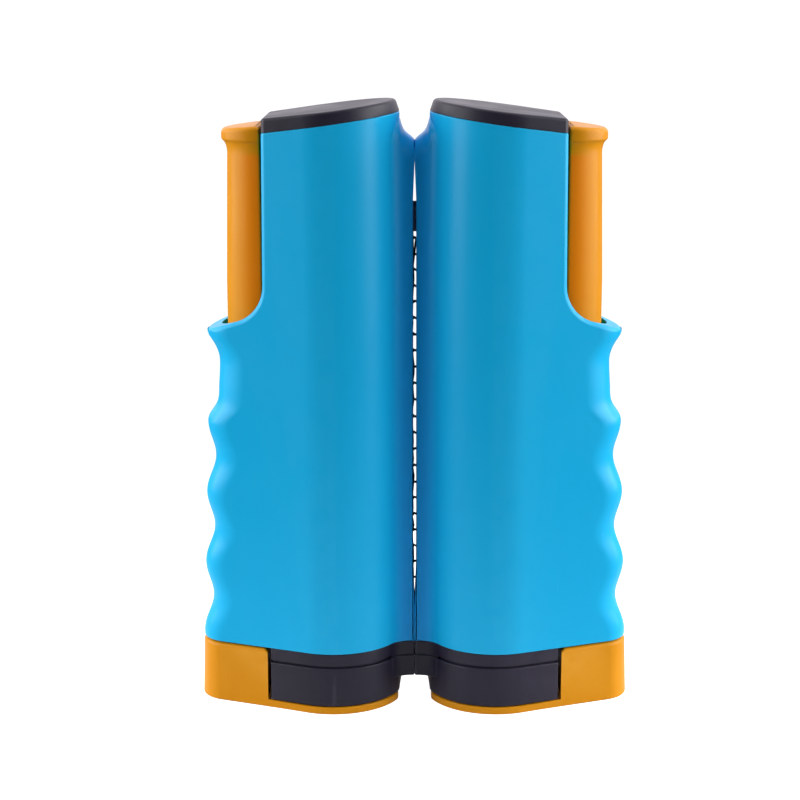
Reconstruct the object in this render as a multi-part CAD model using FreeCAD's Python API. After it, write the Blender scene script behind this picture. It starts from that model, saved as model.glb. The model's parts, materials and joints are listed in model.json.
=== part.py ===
import FreeCAD, Part
import math
import os

from FreeCAD import Vector

# Table tennis net clamp: two mirror-image clamp posts with a net drawn in between them.
# Millimetres, +Z up. The origin is on the floor, midway between the posts. Each post is
# built on the +X side, where x is the distance out from the middle, and mirrored.

# Spool tube and finger grip, in plan: two circles and their common tangents
spool_x = 26.0             # spool axis, out from the middle
lobe_r = 22.0              # outer radius of the spool tube
wall = 2.0
tangent_deg = 21.4         # the tangents close in towards the grip by this angle
flat_out = 20.5            # flat outer side of the upper tube, from the spool axis
wing_half = 8.6            # half the thickness of the wing
wing_fillet = 8.0          # concave corner between wing and tube
post_gap = 0.3             # between the two wings where they meet
net_gap = 1.4              # between the two wings where the net runs

# Heights of the housing
housing_z = 20.0           # lower edge
tube_z = 190.0             # upper edge at the tube's inner side
top_slope_deg = 8.0        # the top falls outwards by this angle
wing_z = 181.0             # top of the wing at the middle
saddle_r = 5.5             # concave run from the wing up to the tube
saddle_bite = 0.7          # the hollow cuts this far into the tube's inner side

# Finger grip: the waves of its outer edge, measured out from the tube's flat side
first_peak_z = 92.1
first_peak_out = 19.6
peak_pitch = 23.45
peak_step = 0.93           # each lower peak stands this much further out
wave_depth = 2.75
peaks = 4
neck_low_z = 98.2
neck_low_out = 16.4
neck_z = 104.0
neck_out = 15.8
lip_throat_z = 112.0       # narrowest place under the lip
lip_throat_out = 15.4
lip_curl_z = 116.7         # halfway up the lip's outward curl
lip_curl_out = 17.0
lip_z = 120.7
lip_out = 18.9
lip_lean = 0.3             # slope of the grip's outer side above the lip
lip_steps = 3
scoop_z = 136.5            # height of the scoop's centre
scoop_r = 12.5
scoop_fall_deg = 20.0      # slope of the rim beyond the scoop

# Net and its slot
net_low_z = 23.7
net_high_z = 161.8
tape_height = 9.4
tape_thick = 1.0
mesh_thick = 0.5
thread = 0.7
mesh_pitch = 5.25
slot_half = 1.7
slot_end_gap = 1.2         # slot beyond the net at each end
gap_taper = 12.0           # height over which the wing's face closes in above and below the net
gap_foot = 9.0             # the lower taper starts this far above the slot's foot
wing_space_over = 3.0      # the hollow in the wing runs this far above the slot

# Top cap
cap_thick = 3.6
cap_bevel = 1.2
cap_skirt = 6.0
cap_skirt_wall = 1.6
fit_gap = 0.15             # spigots in their sockets

# Base block, the fixed jaw
jaw_z = 2.9                # underside of the fixed jaw
block_z = 15.4             # top of the proud lower block
block_proud = 0.5
groove = 0.6
block_wall = 2.6
floor_thick = 2.5
wing_base_z = 8.7
wing_base_bevel_x = 1.2
wing_base_bevel_z = 2.2
block_end_gap = 0.4        # the block stops short of the flat side by this much

# Moving jaw: plunger and foot
travel = 45.0
plate_thick = 2.6
foot_top_gap = 0.4         # under the housing when closed
foot_bevel = 0.8
foot_end_out = 23.0        # outer end, from the tube's flat side
shaft_gap = 1.1            # between the tube's flat side and the shaft
shaft_depth_x = 10.8
shaft_side_gap = 1.0       # shaft's edges to the inside of the grip's walls
flange_low_z = 177.1
flange_band_z = 181.1
flange_out = 1.7           # the thumb rest stands out from the shaft by this much
flange_side_out = 0.7      # and by this much at the front and the back
cove_steps = 4
flange_outer_z = 183.6     # height of the thumb rest's outer edge
flange_rise = 2.4          # and how much higher its inner edge is
flange_round = 0.8
bore_r = 4.1
bore_top_z = 171.0
plug_height = 6.0
ledge_z = 72.0             # the spring stands on this
ledge_thick = 4.0
ledge_half = 2.2
side_gap = 0.4             # slots and bores round what slides in them
rail_clear = 0.2           # guide rails to the shaft
rail_top_z = 145.0
outer_rail_drop = 6.0      # the outer rail ends this far below the lip
rail_in = 2.6
rail_width = 2.4

# Springs, arbor and spool
clamp_wire_r = 0.4
clamp_coil_r = 3.2
clamp_turns = 24
arbor_r = 2.0
arbor_low_z = 10.0
arbor_high_z = 176.0
running_gap = 0.05
core_r = 6.5
core_bore_r = 5.2
flange_flat_gap = 1.5      # spool flanges to the inside of the tube's flat side
spool_flange_thick = 1.2
flange_net_gap = 0.4
hub_length = 9.0
roll_margin = 2.7          # the full roll is this much smaller than the flanges
winding_wire_r = 0.35
winding_coil_r = 3.0
winding_turns = 30
anchor_r = 4.4
anchor_fit = 0.02
anchor_height = 6.0
boss_wall = 2.4
boss_height = 16.0
boss_floor = 1.5           # closed end of the screw's hole
boss_web = 2.0
spring_seat_gap = 0.3

# Pads and screws
pad_thick = 1.3
pad_inset = 3.2
pad_proud = 0.15
screw_r = 1.5
screw_head_r = 2.7
screw_head_h = 1.8
screw_length = 22.0
cross_long = 3.2           # cross recess in the screw's head
cross_wide = 0.8
cross_deep = 0.9
head_gap = 0.3
foot_screw_wall = 0.66     # left in the shaft beside each screw
foot_screw_head_z = 7.0
foot_screw_length = 26.0
base_screw_head_z = 9.0

# Cutting tools
tall = 240.0               # taller and wider than anything here
wide = 120.0
past = 1.0                 # run past a face by this much
grip_root = 4.0            # the grip's solid starts this far inside the tube's flat side

# Values that follow from the sizes above
tangent_sin = math.sin(math.radians(tangent_deg))
tangent_cos = math.cos(math.radians(tangent_deg))
top_slope = math.tan(math.radians(top_slope_deg))
tube_inner_x = spool_x - lobe_r
flat_x = spool_x + flat_out
foot_end_x = flat_x + foot_end_out
shaft_x = flat_x + shaft_gap
shaft_end_x = shaft_x + shaft_depth_x
bore_x = shaft_x + shaft_depth_x / 2
shaft_half_y = (lobe_r - wall - (shaft_x - spool_x) * tangent_sin) / tangent_cos - shaft_side_gap
shaft_r = (shaft_half_y ** 2 + shaft_depth_x ** 2) / (2 * shaft_depth_x)
shaft_bore_half_y = math.sqrt(shaft_r ** 2 - (bore_x - shaft_end_x + shaft_r) ** 2)
foot_screw_y = shaft_bore_half_y - foot_screw_wall - screw_r
ledge_r = bore_r - side_gap
foot_top_z = housing_z - foot_top_gap
slot_low_z = net_low_z - slot_end_gap
slot_high_z = net_high_z + slot_end_gap
spool_low_z = net_low_z - flange_net_gap - spool_flange_thick
spool_high_z = net_high_z + flange_net_gap + spool_flange_thick
flange_r = flat_out - wall - flange_flat_gap
roll_r = flange_r - roll_margin
boss_r = screw_r + boss_wall / 2
corner_out = flat_out - wall
corner_y = (lobe_r - wall - corner_out * tangent_sin) / tangent_cos
base_screw_turn = math.atan2(corner_y, corner_out)
base_screw_out = flange_r + side_gap + boss_r
base_screw_x = spool_x + base_screw_out * math.cos(base_screw_turn)
base_screw_y = base_screw_out * math.sin(base_screw_turn)
arbor_boss_r = arbor_r + boss_wall


def box(x0, x1, y0, y1, z0, z1):
    return Part.makeBox(x1 - x0, y1 - y0, z1 - z0, Vector(x0, y0, z0))


def rod(radius, x, y, z0, z1):
    return Part.makeCylinder(radius, z1 - z0, Vector(x, y, z0))


def join(first, *others):
    return first.multiFuse(list(others)).removeSplitter()


def prism(edges, z0, z1):
    face = Part.Face(Part.Wire(edges))
    face.translate(Vector(0, 0, z0))
    return face.extrude(Vector(0, 0, z1 - z0))


def side_prism(points, y0, y1):
    """A straight-sided outline in XZ, drawn out along Y."""
    wire = Part.makePolygon([Vector(x, y0, z) for x, z in points + points[:1]])
    return Part.Face(wire).extrude(Vector(0, y1 - y0, 0))


def line(a, b):
    return Part.LineSegment(a, b).toShape()


def arc(a, middle, b):
    return Part.Arc(a, middle, b).toShape()


def nose_circle(end_x, inset):
    """Centre and radius of the circle that ends at end_x and touches both tangents."""
    centre = (end_x - lobe_r - spool_x * tangent_sin) / (1 - tangent_sin)
    return centre, end_x - centre - inset


def tangent_point(centre, radius):
    return Vector(centre + radius * tangent_sin, radius * tangent_cos, 0)


def flip_y(point):
    return Vector(point.x, -point.y, point.z)


def tangent_y(x, inset):
    """Half the depth of the body at x, where its sides are the straight tangents."""
    return (lobe_r - inset - (x - spool_x) * tangent_sin) / tangent_cos


def closed_outline(end_x, inset):
    """Spool circle, tangents and rounded outer end. A negative inset stands proud."""
    a = tangent_point(spool_x, lobe_r - inset)
    centre, radius = nose_circle(end_x, inset)
    b = tangent_point(centre, radius)
    back = Vector(spool_x - lobe_r + inset, 0, 0)
    front = Vector(centre + radius, 0, 0)
    return [
        arc(a, back, flip_y(a)),
        line(flip_y(a), flip_y(b)),
        arc(flip_y(b), front, b),
        line(b, a),
    ]


def tube_outline(end_x, inset):
    """Spool circle and tangents, cut off flat at end_x."""
    a = tangent_point(spool_x, lobe_r - inset)
    b = Vector(end_x, tangent_y(end_x, inset), 0)
    back = Vector(spool_x - lobe_r + inset, 0, 0)
    return [
        arc(a, back, flip_y(a)),
        line(flip_y(a), flip_y(b)),
        line(flip_y(b), b),
        line(b, a),
    ]


def wing_outline(inner_x, inset):
    """The wing's plan, with its concave corners, out to inside the spool circle."""
    half = wing_half - inset
    reach = lobe_r - inset + wing_fillet
    corner_y = half + wing_fillet
    corner_x = spool_x - math.sqrt(reach ** 2 - corner_y ** 2)
    share = (lobe_r - inset) / reach
    on_circle = Vector(spool_x - (spool_x - corner_x) * share, corner_y * share, 0)
    turn = math.atan2(corner_y - on_circle.y, on_circle.x - corner_x) / 2 + math.pi / 4
    middle = Vector(
        corner_x + wing_fillet * math.cos(turn), corner_y - wing_fillet * math.sin(turn), 0
    )
    start = Vector(corner_x, half, 0)
    face = Vector(inner_x, half, 0)
    return [
        line(face, start),
        arc(start, middle, on_circle),
        line(on_circle, flip_y(on_circle)),
        arc(flip_y(on_circle), flip_y(middle), flip_y(start)),
        line(flip_y(start), flip_y(face)),
        line(flip_y(face), face),
    ]


def top_z(x):
    """Height of the tube's sloping upper edge."""
    return tube_z - (x - tube_inner_x) * top_slope


def under_top(offset):
    """Everything below the sloping edge moved up by offset."""
    return side_prism(
        [(-wide, 0), (wide, 0), (wide, top_z(wide) + offset), (-wide, top_z(-wide) + offset)],
        -wide,
        wide,
    )


def grip_sections():
    """Height and outer end of the grip's levels, from below the base up to above the lip."""
    middle = first_peak_out - wave_depth / 2
    levels = []
    for quarter in range(4 * (peaks - 1), -1, -1):
        z = first_peak_z - peak_pitch * quarter / 4
        swing = math.cos(math.pi * quarter / 2) * wave_depth / 2
        levels.append((z, middle + peak_step * quarter / 4 + swing))
    levels.insert(0, (housing_z - 2 * past, levels[0][1]))
    levels.append((neck_low_z, neck_low_out))
    levels.append((neck_z, neck_out))
    levels.append((lip_throat_z, lip_throat_out))
    levels.append((lip_curl_z, lip_curl_out))
    levels.append((lip_z, lip_out))
    for step in range(1, lip_steps + 1):
        rise = (scoop_z + past - lip_z) * step / lip_steps
        levels.append((lip_z + rise, lip_out + rise * lip_lean))
    return [(z, flat_x + out) for z, out in levels]


def grip_nose(inset):
    """The grip's rounded outer side, a surface through the arcs of its levels."""
    arcs = []
    for z, end_x in grip_sections():
        centre, radius = nose_circle(end_x, inset)
        b = tangent_point(centre, radius)
        edge = arc(flip_y(b), Vector(centre + radius, 0, 0), b)
        edge.translate(Vector(0, 0, z))
        arcs.append(Part.Wire([edge]))
    return Part.makeLoft(arcs, False, False).Faces[0]


def close_with_lines(edge, start, end):
    """The face between an edge and the straight lines from its ends to the two corners given."""
    first, last = edge.Vertexes[0].Point, edge.Vertexes[-1].Point
    if first.distanceToPoint(start) > last.distanceToPoint(start):
        first, last = last, first
    ring = [edge, line(last, end), line(end, start), line(start, first)]
    return Part.Face(Part.Wire(Part.sortEdges(ring)[0]))


def grip_solid(inset):
    """The grip from the tube's flat side outwards: the nose and the flat sides behind it."""
    nose = grip_nose(inset)
    levels = grip_sections()
    root_x = flat_x - grip_root
    y = tangent_y(root_x, inset)
    low_front = Vector(root_x, -y, levels[0][0])
    low_back = Vector(root_x, y, levels[0][0])
    high_front = Vector(root_x, -y, levels[-1][0])
    high_back = Vector(root_x, y, levels[-1][0])
    by_height = sorted(nose.Edges, key=lambda e: e.CenterOfMass.z)
    by_depth = sorted(nose.Edges, key=lambda e: e.CenterOfMass.y)
    root = [low_front, low_back, high_back, high_front, low_front]
    faces = [
        nose,
        close_with_lines(by_height[0], low_front, low_back),
        close_with_lines(by_height[-1], high_front, high_back),
        close_with_lines(by_depth[0], low_front, high_front),
        close_with_lines(by_depth[-1], low_back, high_back),
        Part.Face(Part.makePolygon(root)),
    ]
    whole = Part.Solid(Part.Shell(faces))
    return whole.common(box(flat_x, wide, -wide, wide, housing_z, tall))


def scoop_cutter():
    """What the scooped mouth takes away above the grip."""
    centre_x = flat_x + scoop_r
    fall = math.radians(scoop_fall_deg)
    start = Vector(flat_x, -wide, scoop_z)
    turn = math.pi / 4 + fall / 2
    middle = Vector(
        centre_x - scoop_r * math.sin(turn), -wide, scoop_z - scoop_r * math.cos(turn)
    )
    end = Vector(centre_x - scoop_r * math.sin(fall), -wide, scoop_z - scoop_r * math.cos(fall))
    far = Vector(wide, -wide, end.z - (wide - end.x) * math.tan(fall))
    far_up = Vector(wide, -wide, tall)
    near_up = Vector(flat_x, -wide, tall)
    edges = [arc(start, middle, end), line(end, far), line(far, far_up)]
    edges += [line(far_up, near_up), line(near_up, start)]
    return Part.Face(Part.Wire(edges)).extrude(Vector(0, 2 * wide, 0))


def saddle_cutter():
    """The hollow run between the wing's top and the tube."""
    centre_x = tube_inner_x - saddle_r + saddle_bite
    centre_z = wing_z + math.sqrt(saddle_r ** 2 - centre_x ** 2)
    hollow = Part.makeCylinder(
        saddle_r, 2 * wide, Vector(centre_x, -wide, centre_z), Vector(0, 1, 0)
    )
    return join(hollow, box(-wide, centre_x + saddle_r, -wide, wide, centre_z, tall))


def wing_face_cutter():
    """Draws the wing's face back where the net runs, and tapers it in at both ends."""
    near = post_gap / 2
    far = net_gap / 2
    low = slot_low_z + gap_foot
    points = [
        (-past, low),
        (near, low),
        (far, low + gap_taper),
        (far, slot_high_z),
        (near, slot_high_z + gap_taper),
        (-past, slot_high_z + gap_taper),
    ]
    return side_prism(points, -wide, wide)


def housing():
    """The blue body: spool tube, wing and finger grip in one moulding."""
    tube = prism(tube_outline(flat_x, 0), housing_z, tall).common(under_top(0))
    wing = prism(wing_outline(post_gap / 2, 0), housing_z, wing_z + saddle_r)
    wing = wing.cut(saddle_cutter()).cut(wing_face_cutter())
    grip = grip_solid(0).cut(scoop_cutter())
    body = join(tube, wing, grip)
    spool_space = prism(tube_outline(flat_x - wall, wall), 0, tall)
    wing_space = prism(wing_outline(wall, wall), 0, slot_high_z + wing_space_over)
    slot = box(-past, wall + past, -slot_half, slot_half, slot_low_z, slot_high_z)
    grip_space = grip_solid(wall).common(box(flat_x, wide, -wide, wide, 0, tall))
    body = body.cut(spool_space).cut(wing_space).cut(slot).cut(grip_space)
    extras = [ledge()] + guide_rails() + screw_bosses()
    return join(body, *extras)


def ledge():
    """The spring's lower seat: an arm on the tube's flat side with a round end."""
    arm = box(flat_x - wall / 2, bore_x, -ledge_half, ledge_half, ledge_z - ledge_thick, ledge_z)
    return join(arm, rod(ledge_r, bore_x, 0, ledge_z - ledge_thick, ledge_z))


def guide_rails():
    """Two rails on the flat side and one inside the grip's outer wall, for the shaft."""
    root = flat_x - wall / 2
    face = shaft_x - rail_clear
    half = rail_width / 2
    rails = []
    for side in (-1, 1):
        y = side * (shaft_half_y - rail_in)
        rails.append(box(root, face, y - half, y + half, housing_z, rail_top_z))
    outer = box(shaft_end_x + rail_clear, wide, -half, half, housing_z, lip_z - outer_rail_drop)
    rails.append(outer.common(grip_solid(wall / 2)))
    return rails


def screw_bosses():
    """Bosses in the tube's outer corners for the base screws, webbed to the flat wall."""
    bosses = []
    top = housing_z + boss_height
    half = boss_web / 2
    for side in (-1, 1):
        y = side * base_screw_y
        post = rod(boss_r, base_screw_x, y, housing_z, top)
        web = box(base_screw_x, flat_x - wall / 2, y - half, y + half, housing_z, top)
        hole = rod(screw_r, base_screw_x, y, housing_z - past, top - boss_floor)
        bosses.append(join(post, web).cut(hole))
    return bosses


def top_cap():
    """The black lid with its bevelled edge, its skirt and the arbor's upper socket."""
    whole = prism(tube_outline(flat_x, 0), 0, tall)
    slab = whole.common(under_top(cap_thick)).cut(under_top(0))
    top = max(slab.Faces, key=lambda f: f.CenterOfMass.z)
    slab = slab.makeChamfer(cap_bevel, top.Edges)
    inset = wall + fit_gap
    skirt = prism(tube_outline(flat_x - inset, inset), 0, tall)
    inner = inset + cap_skirt_wall
    skirt = skirt.cut(prism(tube_outline(flat_x - inner, inner), 0, tall))
    skirt = skirt.common(under_top(0)).cut(under_top(-cap_skirt))
    boss = rod(arbor_boss_r, spool_x, 0, spool_high_z + flange_net_gap, tall).common(under_top(0))
    socket = rod(arbor_r + running_gap, spool_x, 0, 0, arbor_high_z + running_gap)
    return join(slab, skirt, boss).cut(socket)


def base_block():
    """The black fixed jaw: a band under the housing, a proud lower block and a spigot."""
    end_x = flat_x - block_end_gap
    lower = prism(tube_outline(end_x, -block_proud), jaw_z, block_z)
    upper = prism(tube_outline(end_x, 0), block_z + groove, housing_z)
    neck = prism(tube_outline(end_x - groove, groove), block_z, block_z + groove)
    wing = prism(wing_outline(post_gap / 2, 0), wing_base_z, housing_z)
    wing = wing.cut(wing_base_corner())
    inset = wall + fit_gap
    spigot = prism(tube_outline(flat_x - inset, inset), jaw_z, spool_low_z - side_gap)
    body = join(lower, neck, upper, wing, spigot)
    inner = block_wall + inset - wall
    space = prism(tube_outline(flat_x - inner, inner), jaw_z + pad_thick + floor_thick, tall)
    body = body.cut(space)
    posts = [rod(arbor_boss_r, spool_x, 0, jaw_z + pad_thick, spool_low_z - side_gap)]
    for side in (-1, 1):
        y = side * base_screw_y
        posts.append(rod(screw_head_r + boss_wall / 2, base_screw_x, y, jaw_z, housing_z))
    posts = [p.common(prism(tube_outline(end_x, 0), 0, tall)) for p in posts]
    body = join(body, *posts)
    body = body.cut(rod(arbor_r + running_gap, spool_x, 0, arbor_low_z, tall))
    for side in (-1, 1):
        y = side * base_screw_y
        body = body.cut(rod(screw_r + side_gap, base_screw_x, y, 0, tall))
        body = body.cut(rod(screw_head_r + head_gap, base_screw_x, y, 0, base_screw_head_z))
        column = rod(boss_r + side_gap, base_screw_x, y, housing_z, tall)
        body = body.cut(column)
    return body.cut(pad_space(jaw_z, jaw_z + pad_thick))


def wing_base_corner():
    """A small bevel along the wing's lower inner edge."""
    slope = wing_base_bevel_z / wing_base_bevel_x
    low_x = post_gap / 2 + wing_base_bevel_x + past / slope
    high_z = wing_base_z + wing_base_bevel_z + (post_gap / 2 + past) * slope
    low_z = wing_base_z - past
    return side_prism([(-past, low_z), (low_x, low_z), (-past, high_z)], -wide, wide)


def pad_outline(inset):
    return tube_outline(flat_x - inset, inset)


def pad_space(z0, z1):
    return prism(pad_outline(pad_inset - fit_gap), z0, z1)


def upper_jaw_pad():
    return prism(pad_outline(pad_inset), jaw_z - pad_proud, jaw_z + pad_thick)


def lower_jaw_pad():
    return prism(pad_outline(pad_inset), plate_thick - pad_thick, plate_thick + pad_proud / 2)


def screw(x, y, head_z, length):
    """A pan-head screw that points up, with a cross recess in its head."""
    head = rod(screw_head_r, x, y, head_z - screw_head_h, head_z)
    shank = rod(screw_r - running_gap, x, y, head_z, head_z + length)
    low = head_z - screw_head_h
    long = cross_long / 2
    short = cross_wide / 2
    slot_a = box(x - long, x + long, y - short, y + short, low, low + cross_deep)
    slot_b = box(x - short, x + short, y - long, y + long, low, low + cross_deep)
    return join(head, shank).cut(slot_a).cut(slot_b)


def base_screws():
    return Part.makeCompound(
        [
            screw(base_screw_x, side * base_screw_y, base_screw_head_z, screw_length)
            for side in (-1, 1)
        ]
    )


def foot_screws():
    return Part.makeCompound(
        [
            screw(bore_x, side * foot_screw_y, foot_screw_head_z, foot_screw_length)
            for side in (-1, 1)
        ]
    )


def clamp_foot():
    """The orange moving jaw: a block under the grip and a plate under the fixed jaw."""
    outline = closed_outline(foot_end_x, -block_proud)
    plate = prism(outline, 0, plate_thick)
    block = prism(outline, 0, foot_top_z)
    block = block.common(box(shaft_x - side_gap, wide, -wide, wide, 0, tall))
    top = max(block.Faces, key=lambda f: f.CenterOfMass.z)
    block = block.makeChamfer(foot_bevel, top.Edges)
    plug = rod(bore_r - fit_gap, bore_x, 0, plate_thick, foot_top_z + plug_height)
    body = join(plate, block, plug)
    for side in (-1, 1):
        y = side * foot_screw_y
        body = body.cut(rod(screw_r + running_gap, bore_x, y, -past, tall))
        body = body.cut(rod(screw_head_r + head_gap, bore_x, y, -past, foot_screw_head_z))
    return body.cut(pad_space(plate_thick - pad_thick, tall))


def shaft_outline(share, z):
    """The D-shaped plan at height z, from the shaft's at share 0 to the thumb rest's at share 1."""
    half = shaft_half_y + flange_side_out * share
    end = Vector(shaft_end_x + flange_out * share, 0, z)
    front = Vector(shaft_x, -half, z)
    back = Vector(shaft_x, half, z)
    return Part.Wire([arc(front, end, back), line(back, front)])


def thumb_top_z(x):
    """Height of the thumb rest's sloping top."""
    end_x = shaft_end_x + flange_out
    return flange_outer_z + (end_x - x) * flange_rise / (end_x - shaft_x)


def plunger():
    """The thumb rest and its D-shaped shaft, bored for the spring and slotted for the ledge."""
    shaft = Part.Face(shaft_outline(0, foot_top_z)).extrude(Vector(0, 0, flange_low_z - foot_top_z))
    wires = []
    for step in range(cove_steps + 1):
        turn = math.pi / 2 * step / cove_steps
        z = flange_low_z + (flange_band_z - flange_low_z) * math.sin(turn)
        wires.append(shaft_outline(1 - math.cos(turn), z))
    flare = Part.makeLoft(wires, True, False)
    band = Part.Face(wires[-1]).extrude(Vector(0, 0, tall - flange_band_z))
    low, high = thumb_top_z(wide), thumb_top_z(-wide)
    band = band.common(side_prism([(-wide, 0), (wide, 0), (wide, low), (-wide, high)], -wide, wide))
    top = max(band.Faces, key=lambda f: f.CenterOfMass.z)
    band = band.makeFillet(flange_round, top.Edges)
    body = join(shaft, flare, band)
    body = body.cut(rod(bore_r, bore_x, 0, 0, bore_top_z))
    slot_top = ledge_z + travel + side_gap
    half = ledge_half + side_gap
    body = body.cut(box(0, bore_x, -half, half, 0, slot_top))
    for side in (-1, 1):
        y = side * foot_screw_y
        top = foot_screw_head_z + foot_screw_length + side_gap
        body = body.cut(rod(screw_r, bore_x, y, 0, top))
    return body


def coil(x, radius, wire_r, turns, z0, z1):
    """A coil spring as one unbroken tube on half-turn biarcs of a helix."""
    low = z0 + wire_r
    rise = (z1 - z0 - 2 * wire_r) / turns
    steps = 2 * turns

    def place(step):
        angle = math.pi * step
        return Vector(x + radius * math.cos(angle), radius * math.sin(angle), low + rise * step / 2)

    def heading(step):
        angle = math.pi * step
        way = Vector(-radius * math.sin(angle), radius * math.cos(angle), rise / (2 * math.pi))
        return way.normalize()

    edges = []
    for step in range(steps):
        edges += biarc(place(step), heading(step), place(step + 1), heading(step + 1))
    circle = Part.Wire(Part.makeCircle(wire_r, place(0), heading(0)))
    shell = Part.BRepOffsetAPI.MakePipeShell(Part.Wire(edges))
    shell.add(circle)
    shell.build()
    shell.makeSolid()
    print("coil", radius, "turns", turns, "least gap to itself", round(rise - 2 * wire_r, 2))
    return shell.shape()


def biarc(start, start_way, end, end_way):
    """Two tangent arcs from start to end with the headings given."""
    chord = end - start
    both = start_way + end_way
    a = 2 * (start_way.dot(end_way) - 1)
    b = -2 * chord.dot(both)
    c = chord.dot(chord)
    reach = (-b - math.sqrt(b * b - 4 * a * c)) / (2 * a) if abs(a) > 1e-9 else -c / b
    corner_a = start + start_way * reach
    corner_b = end - end_way * reach
    joint = (corner_a + corner_b) * 0.5
    return [corner_arc(start, corner_a, joint), corner_arc(joint, corner_b, end)]


def corner_arc(a, corner, b):
    """The arc from a to b that is tangent to the lines through their corner."""
    middle = (a + b) * 0.5
    half = (b - a).Length / 2
    height = (corner - middle).Length
    bulge = half * math.tan(math.atan2(height, half) / 2)
    return arc(a, middle + (corner - middle) * (bulge / height), b)


def clamp_spring():
    low = ledge_z + running_gap
    high = bore_top_z - running_gap
    return coil(bore_x, clamp_coil_r, clamp_wire_r, clamp_turns, low, high)


def spool_arbor():
    return rod(arbor_r, spool_x, 0, arbor_low_z + running_gap, arbor_high_z)


def spool_core():
    tube = rod(core_r, spool_x, 0, net_low_z - flange_net_gap, net_high_z + flange_net_gap)
    return tube.cut(rod(core_bore_r, spool_x, 0, 0, tall))


def spool_flange(face_z, way):
    """A spool end disc with a hub that plugs into the core. It faces way from face_z."""
    far_z = face_z - way * spool_flange_thick
    hub_z = face_z + way * hub_length
    disc = rod(flange_r, spool_x, 0, min(face_z, far_z), max(face_z, far_z))
    hub = rod(core_bore_r - running_gap, spool_x, 0, min(far_z, hub_z), max(far_z, hub_z))
    return join(disc, hub).cut(rod(arbor_r + running_gap, spool_x, 0, 0, tall))


def spool_lower_flange():
    return spool_flange(net_low_z - flange_net_gap, 1)


def spool_upper_flange():
    return spool_flange(net_high_z + flange_net_gap, -1)


def spring_anchor():
    top = net_high_z + flange_net_gap - hub_length - side_gap
    collar = rod(anchor_r, spool_x, 0, top - anchor_height, top)
    return collar.cut(rod(arbor_r + anchor_fit, spool_x, 0, 0, tall))


def winding_spring():
    low = net_low_z - flange_net_gap + hub_length + spring_seat_gap
    high = net_high_z + flange_net_gap - hub_length - side_gap - anchor_height - running_gap
    return coil(spool_x, winding_coil_r, winding_wire_r, winding_turns, low, high)


def net_roll():
    roll = rod(roll_r, spool_x, 0, net_low_z, net_high_z)
    return roll.cut(rod(core_r + running_gap, spool_x, 0, 0, tall))


def net_path(half):
    """Plan of the net between the two rolls: straight through both slots, then to the rolls."""
    bend_x = 1.5 * mesh_pitch + thread / 2
    away = spool_x - bend_x
    leave_r = roll_r + half + running_gap
    turn = math.acos(leave_r / away)
    leave = Vector(spool_x - leave_r * math.cos(turn), leave_r * math.sin(turn), 0)
    way = (leave - Vector(bend_x, 0, 0)).normalize()
    side = Vector(-way.y, way.x, 0) * half
    mid_way = (way + Vector(1, 0, 0)).normalize()
    mitre = Vector(-mid_way.y, mid_way.x, 0) * (half / math.cos(math.atan2(way.y, way.x) / 2))
    bend = Vector(bend_x, 0, 0)
    outer = [leave + side, bend + mitre]
    inner = [bend - mitre, leave - side]
    right = outer + inner
    left = [Vector(-p.x, p.y, 0) for p in reversed(right)]
    top = [left[3], left[2], right[1], right[0]]
    low = [right[3], right[2], left[1], left[0]]
    return top + low


def net_strip(half, z0, z1):
    points = net_path(half)
    wire = Part.makePolygon([Vector(p.x, p.y, z0) for p in points + points[:1]])
    return Part.Face(wire).extrude(Vector(0, 0, z1 - z0))


def net_top_tape():
    return net_strip(tape_thick / 2, net_high_z - tape_height, net_high_z)


def net_bottom_tape():
    return net_strip(tape_thick / 2, net_low_z, net_low_z + tape_height)


def net_mesh():
    """The net between the tapes, with its gaps cut through where it crosses the slots."""
    low = net_low_z + tape_height
    high = net_high_z - tape_height
    strip = net_strip(mesh_thick / 2, low, high)
    rows = int((high - low - thread) / mesh_pitch)
    start = (low + high - rows * mesh_pitch) / 2
    half = (mesh_pitch - thread) / 2
    gaps = []
    for row in range(rows):
        z = start + (row + 0.5) * mesh_pitch
        for column in (-1, 0, 1):
            x = column * mesh_pitch
            gaps.append(box(x - half, x + half, -mesh_thick, mesh_thick, z - half, z + half))
    return strip.cut(Part.makeCompound(gaps))


def save(name, shape):
    assert shape.isValid(), name + " is not a valid shape"
    shape.exportStep("parts/" + name + ".step")
    print(name, len(shape.Solids), "solids, volume", round(shape.Volume, 1))


post_pieces = {
    "housing": housing,
    "top_cap": top_cap,
    "base_block": base_block,
    "upper_jaw_pad": upper_jaw_pad,
    "base_screws": base_screws,
    "spool_arbor": spool_arbor,
    "spring_anchor": spring_anchor,
    "winding_spring": winding_spring,
    "spool_core": spool_core,
    "spool_lower_flange": spool_lower_flange,
    "spool_upper_flange": spool_upper_flange,
    "net_roll": net_roll,
    "plunger": plunger,
    "clamp_foot": clamp_foot,
    "lower_jaw_pad": lower_jaw_pad,
    "foot_screws": foot_screws,
    "clamp_spring": clamp_spring,
}
shared_pieces = {
    "net_mesh": net_mesh,
    "net_top_tape": net_top_tape,
    "net_bottom_tape": net_bottom_tape,
}

os.makedirs("parts", exist_ok=True)
for piece, make in post_pieces.items():
    made = make()
    save("right_" + piece, made)
    save("left_" + piece, made.mirror(Vector(0, 0, 0), Vector(1, 0, 0)))
for piece, make in shared_pieces.items():
    save(piece, make())
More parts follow.
